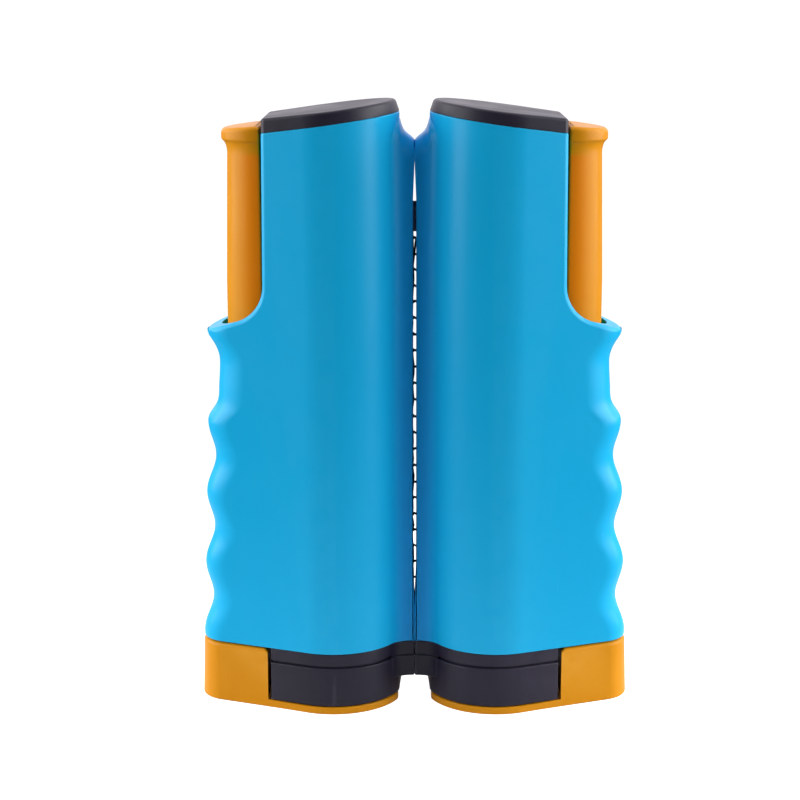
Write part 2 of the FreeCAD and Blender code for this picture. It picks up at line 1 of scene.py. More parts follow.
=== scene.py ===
import bpy
import bmesh
import json
import math
import random
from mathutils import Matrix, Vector

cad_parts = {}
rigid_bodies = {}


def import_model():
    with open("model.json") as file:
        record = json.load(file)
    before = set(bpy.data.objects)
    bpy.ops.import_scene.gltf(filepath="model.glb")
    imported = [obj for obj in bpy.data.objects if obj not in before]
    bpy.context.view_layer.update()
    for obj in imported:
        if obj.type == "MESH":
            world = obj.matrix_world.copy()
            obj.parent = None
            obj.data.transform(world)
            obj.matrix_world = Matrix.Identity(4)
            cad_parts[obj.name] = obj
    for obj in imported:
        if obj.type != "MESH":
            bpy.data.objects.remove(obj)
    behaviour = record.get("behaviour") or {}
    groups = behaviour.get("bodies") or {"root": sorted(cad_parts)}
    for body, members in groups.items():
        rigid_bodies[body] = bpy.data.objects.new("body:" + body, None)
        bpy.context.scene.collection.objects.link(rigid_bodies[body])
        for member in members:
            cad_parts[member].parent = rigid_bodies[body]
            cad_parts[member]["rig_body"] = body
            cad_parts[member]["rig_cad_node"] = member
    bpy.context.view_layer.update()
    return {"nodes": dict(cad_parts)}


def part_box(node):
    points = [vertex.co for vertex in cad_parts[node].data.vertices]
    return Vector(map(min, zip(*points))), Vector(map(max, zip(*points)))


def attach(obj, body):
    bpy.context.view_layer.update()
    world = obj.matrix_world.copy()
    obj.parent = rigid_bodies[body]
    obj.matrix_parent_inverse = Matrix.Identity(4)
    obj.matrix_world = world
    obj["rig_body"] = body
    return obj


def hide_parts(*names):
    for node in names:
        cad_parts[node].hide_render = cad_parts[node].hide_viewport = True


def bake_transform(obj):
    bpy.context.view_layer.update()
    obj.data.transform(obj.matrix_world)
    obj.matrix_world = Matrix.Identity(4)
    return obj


# Table tennis net clamp: a pair of blue clamp posts with black caps and feet, orange thumb
# plungers and jaws, and the dark net drawn in between them. Metres, +Z up, front towards -Y.
# Each piece is modelled for the right post, and a mirrored copy is made for the left one.

bpy.ops.object.select_all(action="SELECT")
bpy.ops.object.delete()
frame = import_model()
nodes = frame["nodes"]
mm = 0.001
print("frame loaded:", len(nodes), "nodes")

# shader nodes


def addNode(tree, kind, settings=None, **inputs):
    # adds a node, sets its choices, and gives its sockets values or links
    node = tree.nodes.new("ShaderNode" + kind)
    for key, value in (settings or {}).items():
        setattr(node, key, value)
    for key, value in inputs.items():
        socket = node.inputs[int(key[1:])] if key[0] == "i" and key[1:].isdigit() else node.inputs[key]
        if isinstance(value, bpy.types.NodeSocket):
            tree.links.new(value, socket)
        else:
            socket.default_value = value
    return node


def mathNode(tree, operation, a, b):
    return addNode(tree, "Math", {"operation": operation}, i0=a, i1=b).outputs[0]


def times(tree, a, b):
    return mathNode(tree, "MULTIPLY", a, b)


def ramp(tree, value, low, high, toLow=0.0, toHigh=1.0, kind="SMOOTHSTEP"):
    ends = {"From Min": low, "From Max": high, "To Min": toLow, "To Max": toHigh}
    return addNode(tree, "MapRange", {"interpolation_type": kind}, Value=value, **ends).outputs["Result"]


def noise(tree, vector, scale, detail=2.0):
    return addNode(tree, "TexNoise", Vector=vector, Scale=scale, Detail=detail).outputs["Fac"]


def stretched(tree, vector, scale, turn=(0, 0, 0)):
    return addNode(tree, "Mapping", Vector=vector, Scale=scale, Rotation=turn).outputs["Vector"]


def mixColor(tree, share, first, second):
    first, second = [(*c, 1) if isinstance(c, tuple) else c for c in (first, second)]
    return addNode(tree, "Mix", {"data_type": "RGBA"}, i0=share, i6=first, i7=second).outputs[2]


def newPaint(name):
    paint = bpy.data.materials.new(name)
    paint.use_nodes = True
    tree = paint.node_tree
    return paint, tree, tree.nodes["Principled BSDF"].inputs, addNode(tree, "TexCoord").outputs["Object"]


# camera and studio

camera = {
    "lens": 84.43,
    "away": 585.7,      # in front of the middle of the posts, in mm
    "height": 229.1,
    "tiltDown": 12.605,
    "shiftX": -0.01825,  # the pair stands a little right of the middle
}
studio = {
    "sideAway": 0.95, "sideTurn": 84.5, "sideHeight": 0.26, "sideSize": (1.05, 1.1),
    "leftEnergy": 23.0, "rightEnergy": 26.5,
    "topPlace": (0, 0.15, 1.15), "topSize": (1.3, 0.9), "topEnergy": 7.0,
    "keyPlace": (0, -0.78, 0.8), "keySize": (0.12, 0.12), "keyEnergy": 0.8,
    "backAir": (1.32, 1.25, 1.34), "frontAir": (0.06, 0.065, 0.08),
    "airDepth": (-0.35, 0.65), "floorSize": 60.0,
    "nearFloor": (0.62, 0.62, 0.62), "farFloor": (0.05, 0.05, 0.05),
    "nearR": 0.05, "farR": 0.32, "nearGlow": 0.26, "floorLift": 0.98,
}


def addCamera():
    bpy.ops.object.camera_add(
        location=(0, -camera["away"] * mm, camera["height"] * mm),
        rotation=(math.radians(90 - camera["tiltDown"]), 0, 0),
    )
    eye = bpy.context.object
    eye.name = "camera"
    eye.data.lens = camera["lens"]
    eye.data.sensor_width = 36
    eye.data.shift_x = camera["shiftX"]
    eye.data.clip_start = 0.05
    eye.data.clip_end = 100
    bpy.context.scene.camera = eye


def addSoftbox(name, place, size, energy):
    bpy.ops.object.light_add(type="AREA", location=place)
    lamp = bpy.context.object
    lamp.name = name
    lamp.data.shape = "RECTANGLE"
    lamp.data.size, lamp.data.size_y = size
    lamp.data.energy = energy
    aim = Vector((0, 0, 0.1)) - Vector(place)
    lamp.rotation_euler = aim.to_track_quat("-Z", "Y").to_euler()


def addStudio():
    c = studio
    turn = math.radians(c["sideTurn"])
    x, y = c["sideAway"] * math.sin(turn), -c["sideAway"] * math.cos(turn)
    addSoftbox("softbox_left", (-x, y, c["sideHeight"]), c["sideSize"], c["leftEnergy"])
    addSoftbox("softbox_right", (x, y, c["sideHeight"]), c["sideSize"], c["rightEnergy"])
    addSoftbox("softbox_top", c["topPlace"], c["topSize"], c["topEnergy"])
    addSoftbox("softbox_key", c["keyPlace"], c["keySize"], c["keyEnergy"])
    addAir()
    addFloor()


def addAir():
    # a white room whose front is dim for the light that it gives
    world = bpy.data.worlds.new("studio_air")
    world.use_nodes = True
    bpy.context.scene.world = world
    tree = world.node_tree
    way = addNode(tree, "SeparateXYZ", i0=addNode(tree, "TexCoord").outputs["Generated"])
    light = mixColor(
        tree, ramp(tree, way.outputs["Y"], *studio["airDepth"]), studio["frontAir"], studio["backAir"]
    )
    seen = addNode(tree, "LightPath").outputs["Is Camera Ray"]
    tree.links.new(mixColor(tree, seen, light, (1, 1, 1)), tree.nodes["Background"].inputs["Color"])


def addFloor():
    # pale and faintly lit near the posts, dark farther off, and plain to the camera
    bpy.ops.object.select_all(action="DESELECT")
    bpy.ops.mesh.primitive_plane_add(size=studio["floorSize"])
    floor = bpy.context.object
    floor.name = "pale_floor"
    paint, tree, shader, here = newPaint("pale_floor_paint")
    away = addNode(tree, "VectorMath", {"operation": "LENGTH"}, i0=here).outputs["Value"]
    near = ramp(tree, away, studio["nearR"], studio["farR"], kind="LINEAR")
    tree.links.new(mixColor(tree, near, studio["nearFloor"], studio["farFloor"]), shader["Base Color"])
    shader["Roughness"].default_value = 0.9
    shader["Specular IOR Level"].default_value = 0.1
    seen = addNode(tree, "LightPath").outputs["Is Camera Ray"]
    bounce = ramp(tree, near, 0.0, 1.0, studio["nearGlow"], 0.0, "LINEAR")
    lift = addNode(tree, "Mix", i0=seen, i2=bounce, i3=studio["floorLift"]).outputs[0]
    glow = addNode(tree, "Emission", Strength=lift)
    both = addNode(tree, "AddShader", i0=tree.nodes["Principled BSDF"].outputs[0], i1=glow.outputs[0])
    tree.links.new(both.outputs[0], tree.nodes["Material Output"].inputs["Surface"])
    floor.data.materials.append(paint)


addCamera()
addStudio()
bpy.context.scene.view_settings.view_transform = "Standard"
print("camera and studio ready")

# finishes: shared effects as node groups, one material for each moulded or woven finish


def newGroup(name, inputs, outputs):
    # a shader group, with its inputs and outputs by name
    kinds = {"Vector": "Vector", "Color": "Color", "Pale": "Color", "Deep": "Color"}
    tree = bpy.data.node_groups.new(name, "ShaderNodeTree")
    for way, labels in (("INPUT", inputs), ("OUTPUT", outputs)):
        for label in labels:
            kind = "NodeSocket" + kinds.get(label, "Float")
            tree.interface.new_socket(name=label, in_out=way, socket_type=kind)
    return tree, tree.nodes.new("NodeGroupInput").outputs, tree.nodes.new("NodeGroupOutput").inputs


def makeToneDrift():
    # slow, faint changes of tone over a moulding, with a light streak of flow
    tree, given, result = newGroup("tone_drift", ["Vector", "Color", "Pale", "Deep", "Amount"], ["Color"])
    flow = noise(tree, stretched(tree, given["Vector"], (90, 90, 9)), 1.0)
    both = mathNode(tree, "ADD", noise(tree, given["Vector"], 26.0, 3.0), times(tree, flow, 0.6))
    up, down = [times(tree, ramp(tree, both, 0.80, end), given["Amount"]) for end in (1.15, 0.45)]
    color = mixColor(tree, up, given["Color"], given["Pale"])
    tree.links.new(mixColor(tree, down, color, given["Deep"]), result["Color"])
    return tree


def makeMouldGrain():
    # the fine texture of a moulding: grain, a slight orange peel and the faint marks of sinking
    tree, given, result = newGroup("mould_grain", ["Vector", "Grain", "Peel", "Fineness"], ["Height"])
    grain = times(tree, noise(tree, given["Vector"], given["Fineness"], 3.0), given["Grain"])
    sink = times(tree, noise(tree, given["Vector"], 45.0, 1.0), 4.0)
    soft = mathNode(tree, "ADD", noise(tree, given["Vector"], 420.0), sink)
    height = mathNode(tree, "ADD", grain, times(tree, soft, given["Peel"]))
    tree.links.new(height, result["Height"])
    return tree


def makeSpecks():
    # sparse specks of dust and small nicks, one in few cells of a fine pattern
    tree, given, result = newGroup("dust_specks", ["Vector", "Spread", "Size", "Share"], ["Mask"])
    cell = addNode(tree, "TexVoronoi", Vector=given["Vector"], Scale=given["Spread"])
    dot = ramp(tree, cell.outputs["Distance"], given["Size"], times(tree, given["Size"], 0.4))
    tint = addNode(tree, "SeparateColor", Color=cell.outputs["Color"])
    chosen = mathNode(tree, "LESS_THAN", tint.outputs[0], given["Share"])
    tree.links.new(times(tree, dot, chosen), result["Mask"])
    return tree


def makeScratches():
    # short hairline scratches in two directions, only where a patchy mask allows them
    tree, given, result = newGroup("hairlines", ["Vector", "Amount"], ["Mask"])
    lines = []
    for scale, turn in (((2600, 2600, 34), (0.25, 0.3, 0)), ((2300, 2300, 28), (-0.5, -0.35, 0.4))):
        field = noise(tree, stretched(tree, given["Vector"], scale, turn), 1.0, 1.0)
        lines.append(ramp(tree, field, 0.70, 0.76))
    patch = ramp(tree, noise(tree, given["Vector"], 38.0), 0.52, 0.66)
    both = times(tree, mathNode(tree, "MAXIMUM", *lines), patch)
    tree.links.new(times(tree, both, given["Amount"]), result["Mask"])
    return tree


def makeRubbedEdgesAndSheen():
    # edges a little paler: partly rubbed by hands and tables, partly a painted highlight along them
    tree, given, result = newGroup("rubbed_edges_and_sheen", ["Vector", "Amount"], ["Mask"])
    edge = addNode(tree, "NewGeometry").outputs["Pointiness"]
    broken = ramp(tree, noise(tree, given["Vector"], 170.0, 3.0), 0.25, 0.6, 0.4, 1.0)
    wornAndLit = times(tree, ramp(tree, edge, 0.515, 0.60), broken)
    tree.links.new(times(tree, wornAndLit, given["Amount"]), result["Mask"])
    return tree


def makeWeave():
    # threads over and under each other, along the net and up it
    tree, given, result = newGroup("woven_threads", ["Vector", "Count"], ["Height", "Mask"])
    parts = addNode(tree, "SeparateXYZ", Vector=given["Vector"]).outputs
    run = mathNode(tree, "ADD", parts[0], parts[1])
    waves = [mathNode(tree, "SINE", times(tree, way, given["Count"]), 0.0) for way in (parts[2], run)]
    height = times(tree, *waves)
    tree.links.new(ramp(tree, height, -0.8, 0.8), result["Height"])
    tree.links.new(ramp(tree, height, -0.2, 0.5), result["Mask"])
    return tree


toneDrift, mouldGrain, dustSpecks = makeToneDrift(), makeMouldGrain(), makeSpecks()
hairlines, rubbedEdgesAndSheen, wovenThreads = makeScratches(), makeRubbedEdgesAndSheen(), makeWeave()


def useGroup(tree, group, **inputs):
    return addNode(tree, "Group", {"node_tree": group}, **inputs)


def addRelief(tree, shader, height, depth):
    bump = addNode(tree, "Bump", Height=height, Strength=1.0, Distance=depth * mm)
    tree.links.new(bump.outputs["Normal"], shader["Normal"])


plastics = {
    "blue_plastic": {
        "color": (0.004, 0.325, 0.59), "pale": (0.012, 0.35, 0.62), "deep": (0.002, 0.30, 0.55),
        "drift": 0.25, "speckColor": (0.45, 0.72, 0.85), "specks": (150.0, 0.035, 0.04),
        "wearAndSheen": 0.35, "wornAndLitColor": (0.09, 0.47, 0.72), "scratch": 0.3,
        "rough": (0.30, 0.37), "grain": 0.12, "peel": 0.30, "fineness": 3000.0, "bump": 0.015,
        # painted shade: the blue is mixed deeper where the wings meet
        "gloss": 0.12, "paintedShade": (0.005, 0.268, 0.63), "shadeOut": (0.0025, 0.0090),
        "shadeLow": (0.000, 0.010), "shadeHigh": (0.195, 0.200),
    },
    "orange_plastic": {
        "color": (0.50, 0.195, 0.003), "pale": (0.55, 0.225, 0.006), "deep": (0.45, 0.165, 0.002),
        "drift": 0.5, "speckColor": (0.90, 0.70, 0.40), "specks": (170.0, 0.035, 0.04),
        "wearAndSheen": 0.3, "wornAndLitColor": (0.74, 0.38, 0.06), "scratch": 0.3,
        "rough": (0.33, 0.42), "grain": 0.14, "peel": 0.30, "fineness": 3000.0, "bump": 0.015,
        # painted shade: the orange is mixed redder beside the tube
        "gloss": 0.09, "paintedShade": (0.66, 0.165, 0.003), "shadeOut": (0.0470, 0.0560),
        "shadeLow": (0.090, 0.110), "shadeHigh": (0.1760, 0.1785),
    },
    "black_plastic": {
        "color": (0.011, 0.009, 0.019), "pale": (0.019, 0.016, 0.032), "deep": (0.006, 0.005, 0.011),
        "drift": 0.7, "speckColor": (0.20, 0.19, 0.22), "specks": (260.0, 0.05, 0.08),
        "wearAndSheen": 0.4, "wornAndLitColor": (0.06, 0.055, 0.075), "scratch": 0.08,
        "rough": (0.36, 0.48), "grain": 0.75, "peel": 0.30, "fineness": 2200.0, "bump": 0.05,
        "gloss": 0.22,
    },
    "pad_rubber": {
        "color": (0.022, 0.022, 0.024), "pale": (0.050, 0.048, 0.048), "deep": (0.012, 0.012, 0.013),
        "drift": 0.8, "speckColor": (0.20, 0.19, 0.18), "specks": (420.0, 0.07, 0.16),
        "wearAndSheen": 0.4, "wornAndLitColor": (0.09, 0.09, 0.09), "scratch": 0.2,
        "rough": (0.72, 0.90), "grain": 1.0, "peel": 0.35, "fineness": 1500.0, "bump": 0.20,
        "gloss": 0.3,
    },
}


def paintedShadeMask(tree, here, look):
    # painted shade mask: 1 where a neighbour keeps the light off, beside the tube or where the wings meet
    split = addNode(tree, "SeparateXYZ", i0=here).outputs
    near = ramp(tree, mathNode(tree, "ABSOLUTE", split["X"], 0.0), *look["shadeOut"], 1.0, 0.0)
    above = ramp(tree, split["Z"], *look["shadeLow"])
    below = ramp(tree, split["Z"], *look["shadeHigh"], 1.0, 0.0)
    return times(tree, near, times(tree, above, below))


def makePlastic(name, look):
    paint, tree, shader, here = newPaint(name + "_finish")
    tone = useGroup(
        tree, toneDrift, Vector=here, Color=(*look["color"], 1), Pale=(*look["pale"], 1),
        Deep=(*look["deep"], 1), Amount=look["drift"],
    ).outputs["Color"]
    spread, size, share = look["specks"]
    specks = useGroup(tree, dustSpecks, Vector=here, Spread=spread, Size=size, Share=share).outputs["Mask"]
    lines = useGroup(tree, hairlines, Vector=here, Amount=look["scratch"]).outputs["Mask"]
    wornAndLit = useGroup(tree, rubbedEdgesAndSheen, Vector=here, Amount=look["wearAndSheen"]).outputs["Mask"]
    grain = useGroup(
        tree, mouldGrain, Vector=here, Grain=look["grain"], Peel=look["peel"], Fineness=look["fineness"]
    ).outputs["Height"]
    # paler edges: wear and a painted highlight
    color = mixColor(tree, wornAndLit, tone, look["wornAndLitColor"])
    # painted shade: the colour is mixed towards a deeper one where a neighbour keeps the light off
    if "paintedShade" in look:
        color = mixColor(tree, paintedShadeMask(tree, here, look), color, look["paintedShade"])
    marks = mathNode(tree, "MAXIMUM", times(tree, specks, 0.6), times(tree, lines, 0.06))
    tree.links.new(mixColor(tree, marks, color, look["speckColor"]), shader["Base Color"])
    patchy = ramp(tree, noise(tree, here, 60.0, 4.0), 0.3, 0.7, *look["rough"])
    tree.links.new(mathNode(tree, "ADD", patchy, times(tree, lines, 0.2)), shader["Roughness"])
    addRelief(tree, shader, mathNode(tree, "SUBTRACT", grain, times(tree, lines, 0.5)), look["bump"])
    shader["Specular IOR Level"].default_value = look["gloss"]
    return paint


cloths = {
    "net_cord": {"color": (0.010, 0.020, 0.034), "pale": (0.030, 0.055, 0.080), "threads": 9000.0,
                 "rough": (0.55, 0.75), "bump": 0.08},
    "tape_cloth": {"color": (0.060, 0.085, 0.140), "pale": (0.110, 0.150, 0.220), "threads": 5200.0,
                   "rough": (0.65, 0.85), "bump": 0.12},
}


def makeCloth(name, look):
    paint, tree, shader, here = newPaint(name + "_finish")
    weave = useGroup(tree, wovenThreads, Vector=here, Count=look["threads"]).outputs
    fibre = noise(tree, here, 2600.0, 4.0)
    share = times(tree, weave["Mask"], ramp(tree, fibre, 0.3, 0.7))
    tree.links.new(mixColor(tree, share, look["color"], look["pale"]), shader["Base Color"])
    tree.links.new(ramp(tree, fibre, 0.3, 0.7, *look["rough"]), shader["Roughness"])
    addRelief(tree, shader, mathNode(tree, "ADD", weave["Height"], times(tree, fibre, 0.4)), look["bump"])
    shader["Sheen Weight"].default_value = 0.3
    return paint


steelLook = {
    "color": (0.52, 0.53, 0.55), "dull": (0.33, 0.32, 0.31), "wornAndLitColor": (0.75, 0.75, 0.76),
    "rough": (0.22, 0.42), "bump": 0.01,
}


def makeSteel(name, look):
    # zinc-plated steel: drawn along its length, with dull patches
    paint, tree, shader, here = newPaint(name + "_finish")
    drawn = noise(tree, stretched(tree, here, (5200, 5200, 380)), 1.0, 3.0)
    patch = ramp(tree, noise(tree, here, 210.0, 4.0), 0.42, 0.68)
    # paler edges: wear and a painted highlight
    wornAndLit = useGroup(tree, rubbedEdgesAndSheen, Vector=here, Amount=0.4).outputs["Mask"]
    color = mixColor(tree, patch, look["color"], look["dull"])
    tree.links.new(mixColor(tree, wornAndLit, color, look["wornAndLitColor"]), shader["Base Color"])
    tree.links.new(ramp(tree, drawn, 0.25, 0.75, *look["rough"]), shader["Roughness"])
    addRelief(tree, shader, drawn, look["bump"])
    shader["Metallic"].default_value = 1.0
    return paint


finishes = {name: makePlastic(name, look) for name, look in plastics.items()}
finishes.update({name: makeCloth(name, look) for name, look in cloths.items()})
finishes["steel"] = makeSteel("steel", steelLook)
for node in nodes.values():
    slotName = node.material_slots[0].material.name.split(".")[0]
    node.material_slots[0].material = finishes[slotName]
print("finishes ready:", ", ".join(sorted(finishes)))

# drawing and shaping helpers, in mm


def toMetres(values):
    return [v * mm for v in values]


def activate(obj):
    bpy.ops.object.select_all(action="DESELECT")
    obj.select_set(True)
    bpy.context.view_layer.objects.active = obj


def setMode(mode):
    bpy.ops.object.mode_set(mode=mode)


def selectAll():
    bpy.ops.mesh.select_all(action="SELECT")


def extrudeBy(x, y, z):
    bpy.ops.mesh.extrude_region_move(TRANSFORM_OT_translate={"value": toMetres((x, y, z))})


def moveBy(x, y, z):
    bpy.ops.transform.translate(value=toMetres((x, y, z)))


def scaleBy(scale, x=0, z=0):
    # scales what is selected about a place on the plane that halves the part from front to back
    bpy.ops.transform.resize(value=scale, center_override=toMetres((x, 0, z)))


def added(name, make, **how):
    # a primitive, named and with its place and turn applied
    bpy.ops.object.select_all(action="DESELECT")
    make(**how)
    obj = bpy.context.object
    obj.name = name
    bpy.ops.object.transform_apply()
    return obj


def addPoint(name, place):
    # a new object of one vertex, left in edit mode
    obj = added(name, bpy.ops.mesh.primitive_plane_add, size=mm)
    setMode("EDIT")
    bpy.ops.mesh.select_mode(type="VERT")
    selectAll()
    bpy.ops.mesh.merge(type="CENTER")
    bpy.ops.transform.translate(value=place)
    return obj


def addCircle(name, radius, x, y, z, turn=0):
    # a small filled circle, selected in edit mode, to be drawn out into a thread
    obj = added(
        name, bpy.ops.mesh.primitive_circle_add, vertices=8, radius=radius * mm, fill_type="NGON",
        location=toMetres((x, y, z)), rotation=(0, math.radians(turn), 0),
    )
    edit(obj)
    pickFaces(obj)
    return obj


def block(name, x0, x1, y0, y1, z0, z1):
    return added(
        name, bpy.ops.mesh.primitive_cube_add, size=1,
        location=toMetres(((x0 + x1) / 2, (y0 + y1) / 2, (z0 + z1) / 2)),
        scale=toMetres((x1 - x0, y1 - y0, z1 - z0)),
    )


def rod(name, radius, x, y, z0, z1, sides=48):
    return added(
        name, bpy.ops.mesh.primitive_cylinder_add, vertices=sides, radius=radius * mm,
        depth=(z1 - z0) * mm, location=toMetres((x, y, (z0 + z1) / 2)),
    )


drawPlanes = {
    "plan": (Vector((1, 0, 0)), Vector((0, 1, 0))),  # looking down
    "side": (Vector((1, 0, 0)), Vector((0, 0, 1))),  # from the front
    "end": (Vector((0, 1, 0)), Vector((0, 0, 1))),   # from the side
}


def drawOutline(name, plane, level, start, moves, close=True):
    # draws an outline from one vertex by extruding it for lines and spinning it for arcs
    right, up = drawPlanes[plane]
    normal = right.cross(up)

    def place(point):
        return (right * point[0] + up * point[1] + normal * level) * mm

    obj = addPoint(name, place(start))
    pen = Vector(start)
    for kind, *how in moves:
        if kind == "line":
            step = place(how) - place(pen)
            bpy.ops.mesh.extrude_region_move(TRANSFORM_OT_translate={"value": step})
            pen = Vector(how)
        else:
            centre, turn, steps = Vector(how[:2]), math.radians(how[2]), how[3]
            bpy.ops.mesh.spin(steps=steps, angle=-turn, center=place(centre), axis=normal)
            arm = pen - centre
            c, s = math.cos(turn), math.sin(turn)
            pen = centre + Vector((arm.x * c - arm.y * s, arm.x * s + arm.y * c))
    selectAll()
    bpy.ops.mesh.remove_doubles(threshold=0.001 * mm)
    if close:
        bpy.ops.mesh.edge_face_add()
    return obj


def prism(name, plane, level, start, moves, deep):
    # an outline pulled out into a closed solid
    obj = drawOutline(name, plane, level, start, moves)
    extrudeBy(*deep)
    closeUp()
    return obj


def pickVerts(obj, test):
    bpy.ops.mesh.select_mode(type="VERT")
    shape = bmesh.from_edit_mesh(obj.data)
    for vert in shape.verts:
        vert.select_set(test(vert.co / mm))
    shape.select_flush_mode()
    bmesh.update_edit_mesh(obj.data)


def pickFaces(obj, test=lambda p, n: True):
    bpy.ops.mesh.select_mode(type="FACE")
    shape = bmesh.from_edit_mesh(obj.data)
    for face in shape.faces:
        face.select_set(test(face.calc_center_median() / mm, face.normal))
    bmesh.update_edit_mesh(obj.data)


def within(value, ends):
    return ends[0] < value < ends[1]


def roundEdges(obj, width, steps, least=30, test=lambda p: True):
    # rounds the edges that bend by more than least degrees and whose middle passes the test
    bpy.ops.mesh.select_mode(type="EDGE")
    bpy.ops.mesh.select_all(action="DESELECT")
    shape = bmesh.from_edit_mesh(obj.data)
    sharp = [e for e in shape.edges if e.calc_face_angle(0) > math.radians(least)]
    found = [e for e in sharp if test((e.verts[0].co + e.verts[1].co) / 2 / mm)]
    for edge in found:
        edge.select_set(True)
    bmesh.update_edit_mesh(obj.data)
    if found:
        bpy.ops.mesh.bevel(
            offset=width * mm, segments=steps, profile=0.5, affect="EDGES", clamp_overlap=False,
            miter_outer="ARC", loop_slide=True,
        )


def edit(obj):
    activate(obj)
    setMode("EDIT")


def closeUp():
    bpy.ops.mesh.select_mode(type="FACE")
    selectAll()
    bpy.ops.mesh.normals_make_consistent(inside=False)
    setMode("OBJECT")


def applyAll(obj):
    activate(obj)
    for modifier in list(obj.modifiers):
        bpy.ops.object.modifier_apply(modifier=modifier.name)


def combine(obj, tool, how, solver="EXACT"):
    step = obj.modifiers.new("combine", "BOOLEAN")
    step.operation, step.solver, step.object = how, solver, tool
    applyAll(obj)
    bpy.data.objects.remove(tool)


def cut(obj, *tools):
    for tool in tools:
        combine(obj, tool, "DIFFERENCE")


def join(obj, *tools):
    for tool in tools:
        combine(obj, tool, "UNION")


def thickened(obj, thick):
    # gives drawn cloth its thickness
    cloth = obj.modifiers.new("cloth", "SOLIDIFY")
    cloth.thickness, cloth.offset = thick * mm, 0
    applyAll(obj)
    return obj


def cleaned(obj):
    # takes out the slivers that a cut leaves
    edit(obj)
    selectAll()
    bpy.ops.mesh.dissolve_degenerate(threshold=0.002 * mm)
    closeUp()
    return obj


def smooth(obj, angle):
    activate(obj)
    bpy.ops.object.shade_smooth_by_angle(angle=math.radians(angle))
    even = obj.modifiers.new("even_shading", "WEIGHTED_NORMAL")
    even.keep_sharp = True
    even.weight = 60
    applyAll(obj)


def mirrored(obj, name):
    activate(obj)
    bpy.ops.object.duplicate()
    twin = bpy.context.object
    twin.name = name
    setMode("EDIT")
    selectAll()
    scaleBy((-1, 1, 1))
    bpy.ops.mesh.flip_normals()
    setMode("OBJECT")
    return twin


def eased(t, span, a, b, slopeA, slopeB, base=0):
    # the height at t of a curve from a to b over the span, with given slopes at its ends
    near = (1 + 2 * t) * (1 - t) ** 2 * a + t * (1 - t) ** 2 * span * slopeA
    return base + near + t * t * (3 - 2 * t) * b + t * t * (t - 1) * span * slopeB


# the post's plan, shared by the housing, cap and feet

post = {
    "spoolX": 26.0,       # spool axis, out from the middle
    "tubeR": 22.0,
    "tangent": 21.4,      # the flat sides close in towards the grip by this angle
    "flatX": 46.5,        # flat outer side of the tube
    "arcSteps": 56,
    "noseSteps": 24,
}
sinT = math.sin(math.radians(post["tangent"]))
cosT = math.cos(math.radians(post["tangent"]))


def sideY(x, inset):
    # half the depth of the post at x, where its sides are flat
    return (post["tubeR"] - inset - (x - post["spoolX"]) * sinT) / cosT


def tubeCorner(inset):
    # where the tube's round goes over into the flat side, and the way round the tube's back
    radius = post["tubeR"] - inset
    back = ("arc", post["spoolX"], 0, 180 + 2 * post["tangent"], post["arcSteps"])
    return post["spoolX"] + radius * sinT, radius * cosT, back


def tubeSolid(name, inset, low, high):
    # the tube's plan, drawn in by the inset and pulled up, left in edit mode
    endX = post["flatX"] - inset
    x, y, back = tubeCorner(inset)
    endY = sideY(endX, inset)
    obj = drawOutline(
        name, "plan", low, (x, -y), [("line", endX, -endY), ("line", endX, endY), ("line", x, y), back]
    )
    extrudeBy(0, 0, high)
    return obj


def noseMoves(endX, inset, rootX=None):
    # the grip's plan from rootX outwards, or the whole post's plan with the tube behind it
    centre = (endX - post["tubeR"] - post["spoolX"] * sinT) / (1 - sinT)
    radius = endX - centre - inset
    turn = 180 - 2 * post["tangent"]
    moves = [("line", centre + radius * sinT, -radius * cosT), ("arc", centre, 0, turn, post["noseSteps"])]
    if rootX is not None:
        rootY = sideY(rootX, inset)
        return (rootX, -rootY), moves + [("line", rootX, rootY), ("line", rootX, -rootY)]
    x, y, back = tubeCorner(inset)
    return (x, -y), moves + [("line", x, y), back]


# the blue housing

housing = {
    "lowZ": 20.0, "topZ": 190.0, "slope": 8.0, "innerX": 4.0, "wall": 2.0, "pullZ": 200.0,
    "waveTopZ": 92.1, "waveOut": 19.6, "wavePitch": 23.45, "waveStep": 0.93, "waveDepth": 2.75, "waves": 3,
    "neck": [
        (92.1, 19.6), (98.2, 16.4), (104.0, 15.8), (111.6, 15.4), (114.0, 15.75), (116.4, 16.65),
        (118.2, 17.7), (119.6, 18.65), (120.8, 19.1), (137.5, 19.5),
    ],
    "levelStep": 1.2, "innerStep": 3.0, "lastLevelZ": 121.6, "overZ": 142.0,
    "mouthEnd": 62.8, "mouthLowZ": 115,
    "scoopZ": 137.3, "scoopR": 12.5, "scoopFall": 19.0, "scoopSteps": 14, "lean": 0.4, "draft": 0.961,
    "wingHalf": 8.6, "wingFillet": 8.0, "wingSink": 0.02, "wingDraft": 0.972, "wingRound": 7.2,
    "wingStep": 0.35, "wingSteps": 20, "faceX": 0.0005, "netFaceX": 0.5,
    "saddle": [
        (0, 180.7), (0.5, 181.6), (1.1, 182.1), (2.3, 183.0), (3.4, 184.2), (4.2, 186.1), (4.6, 187.8),
    ],
    "slotLowZ": 22.5, "slotHighZ": 163.0, "slotHalf": 1.7, "faceLowZ": 31.5, "faceTaper": 12.0,
    "wingSpaceX": 7.0, "wingSpaceHalf": 6.6, "wingSpaceZ": 14,
    "rimRound": 1.25, "rimZ": (118, 183),
    "innerRimRound": 0.35, "innerRimX": (47, 61.5), "innerRimZ": (118, 137),
    "topRound": 0.45, "topRoundZ": 180, "lowRound": 0.3, "faceRound": 0.3, "faceRoundZ": (20.5, 174),
    "outerRailTopZ": 114.7, "outerRailX": 58.9, "outerRailLowZ": 17.5, "railHalf": 1.2,
    "ledgeX": 53.0, "ledgeZ": 72.0, "ledgeThick": 4.0, "ledgeR": 3.7, "armHalf": 2.2,
    "bossX": 41.6, "bossY": 12.3, "bossR": 2.7, "bossLowZ": 16.5, "bossTopZ": 36.0,
}


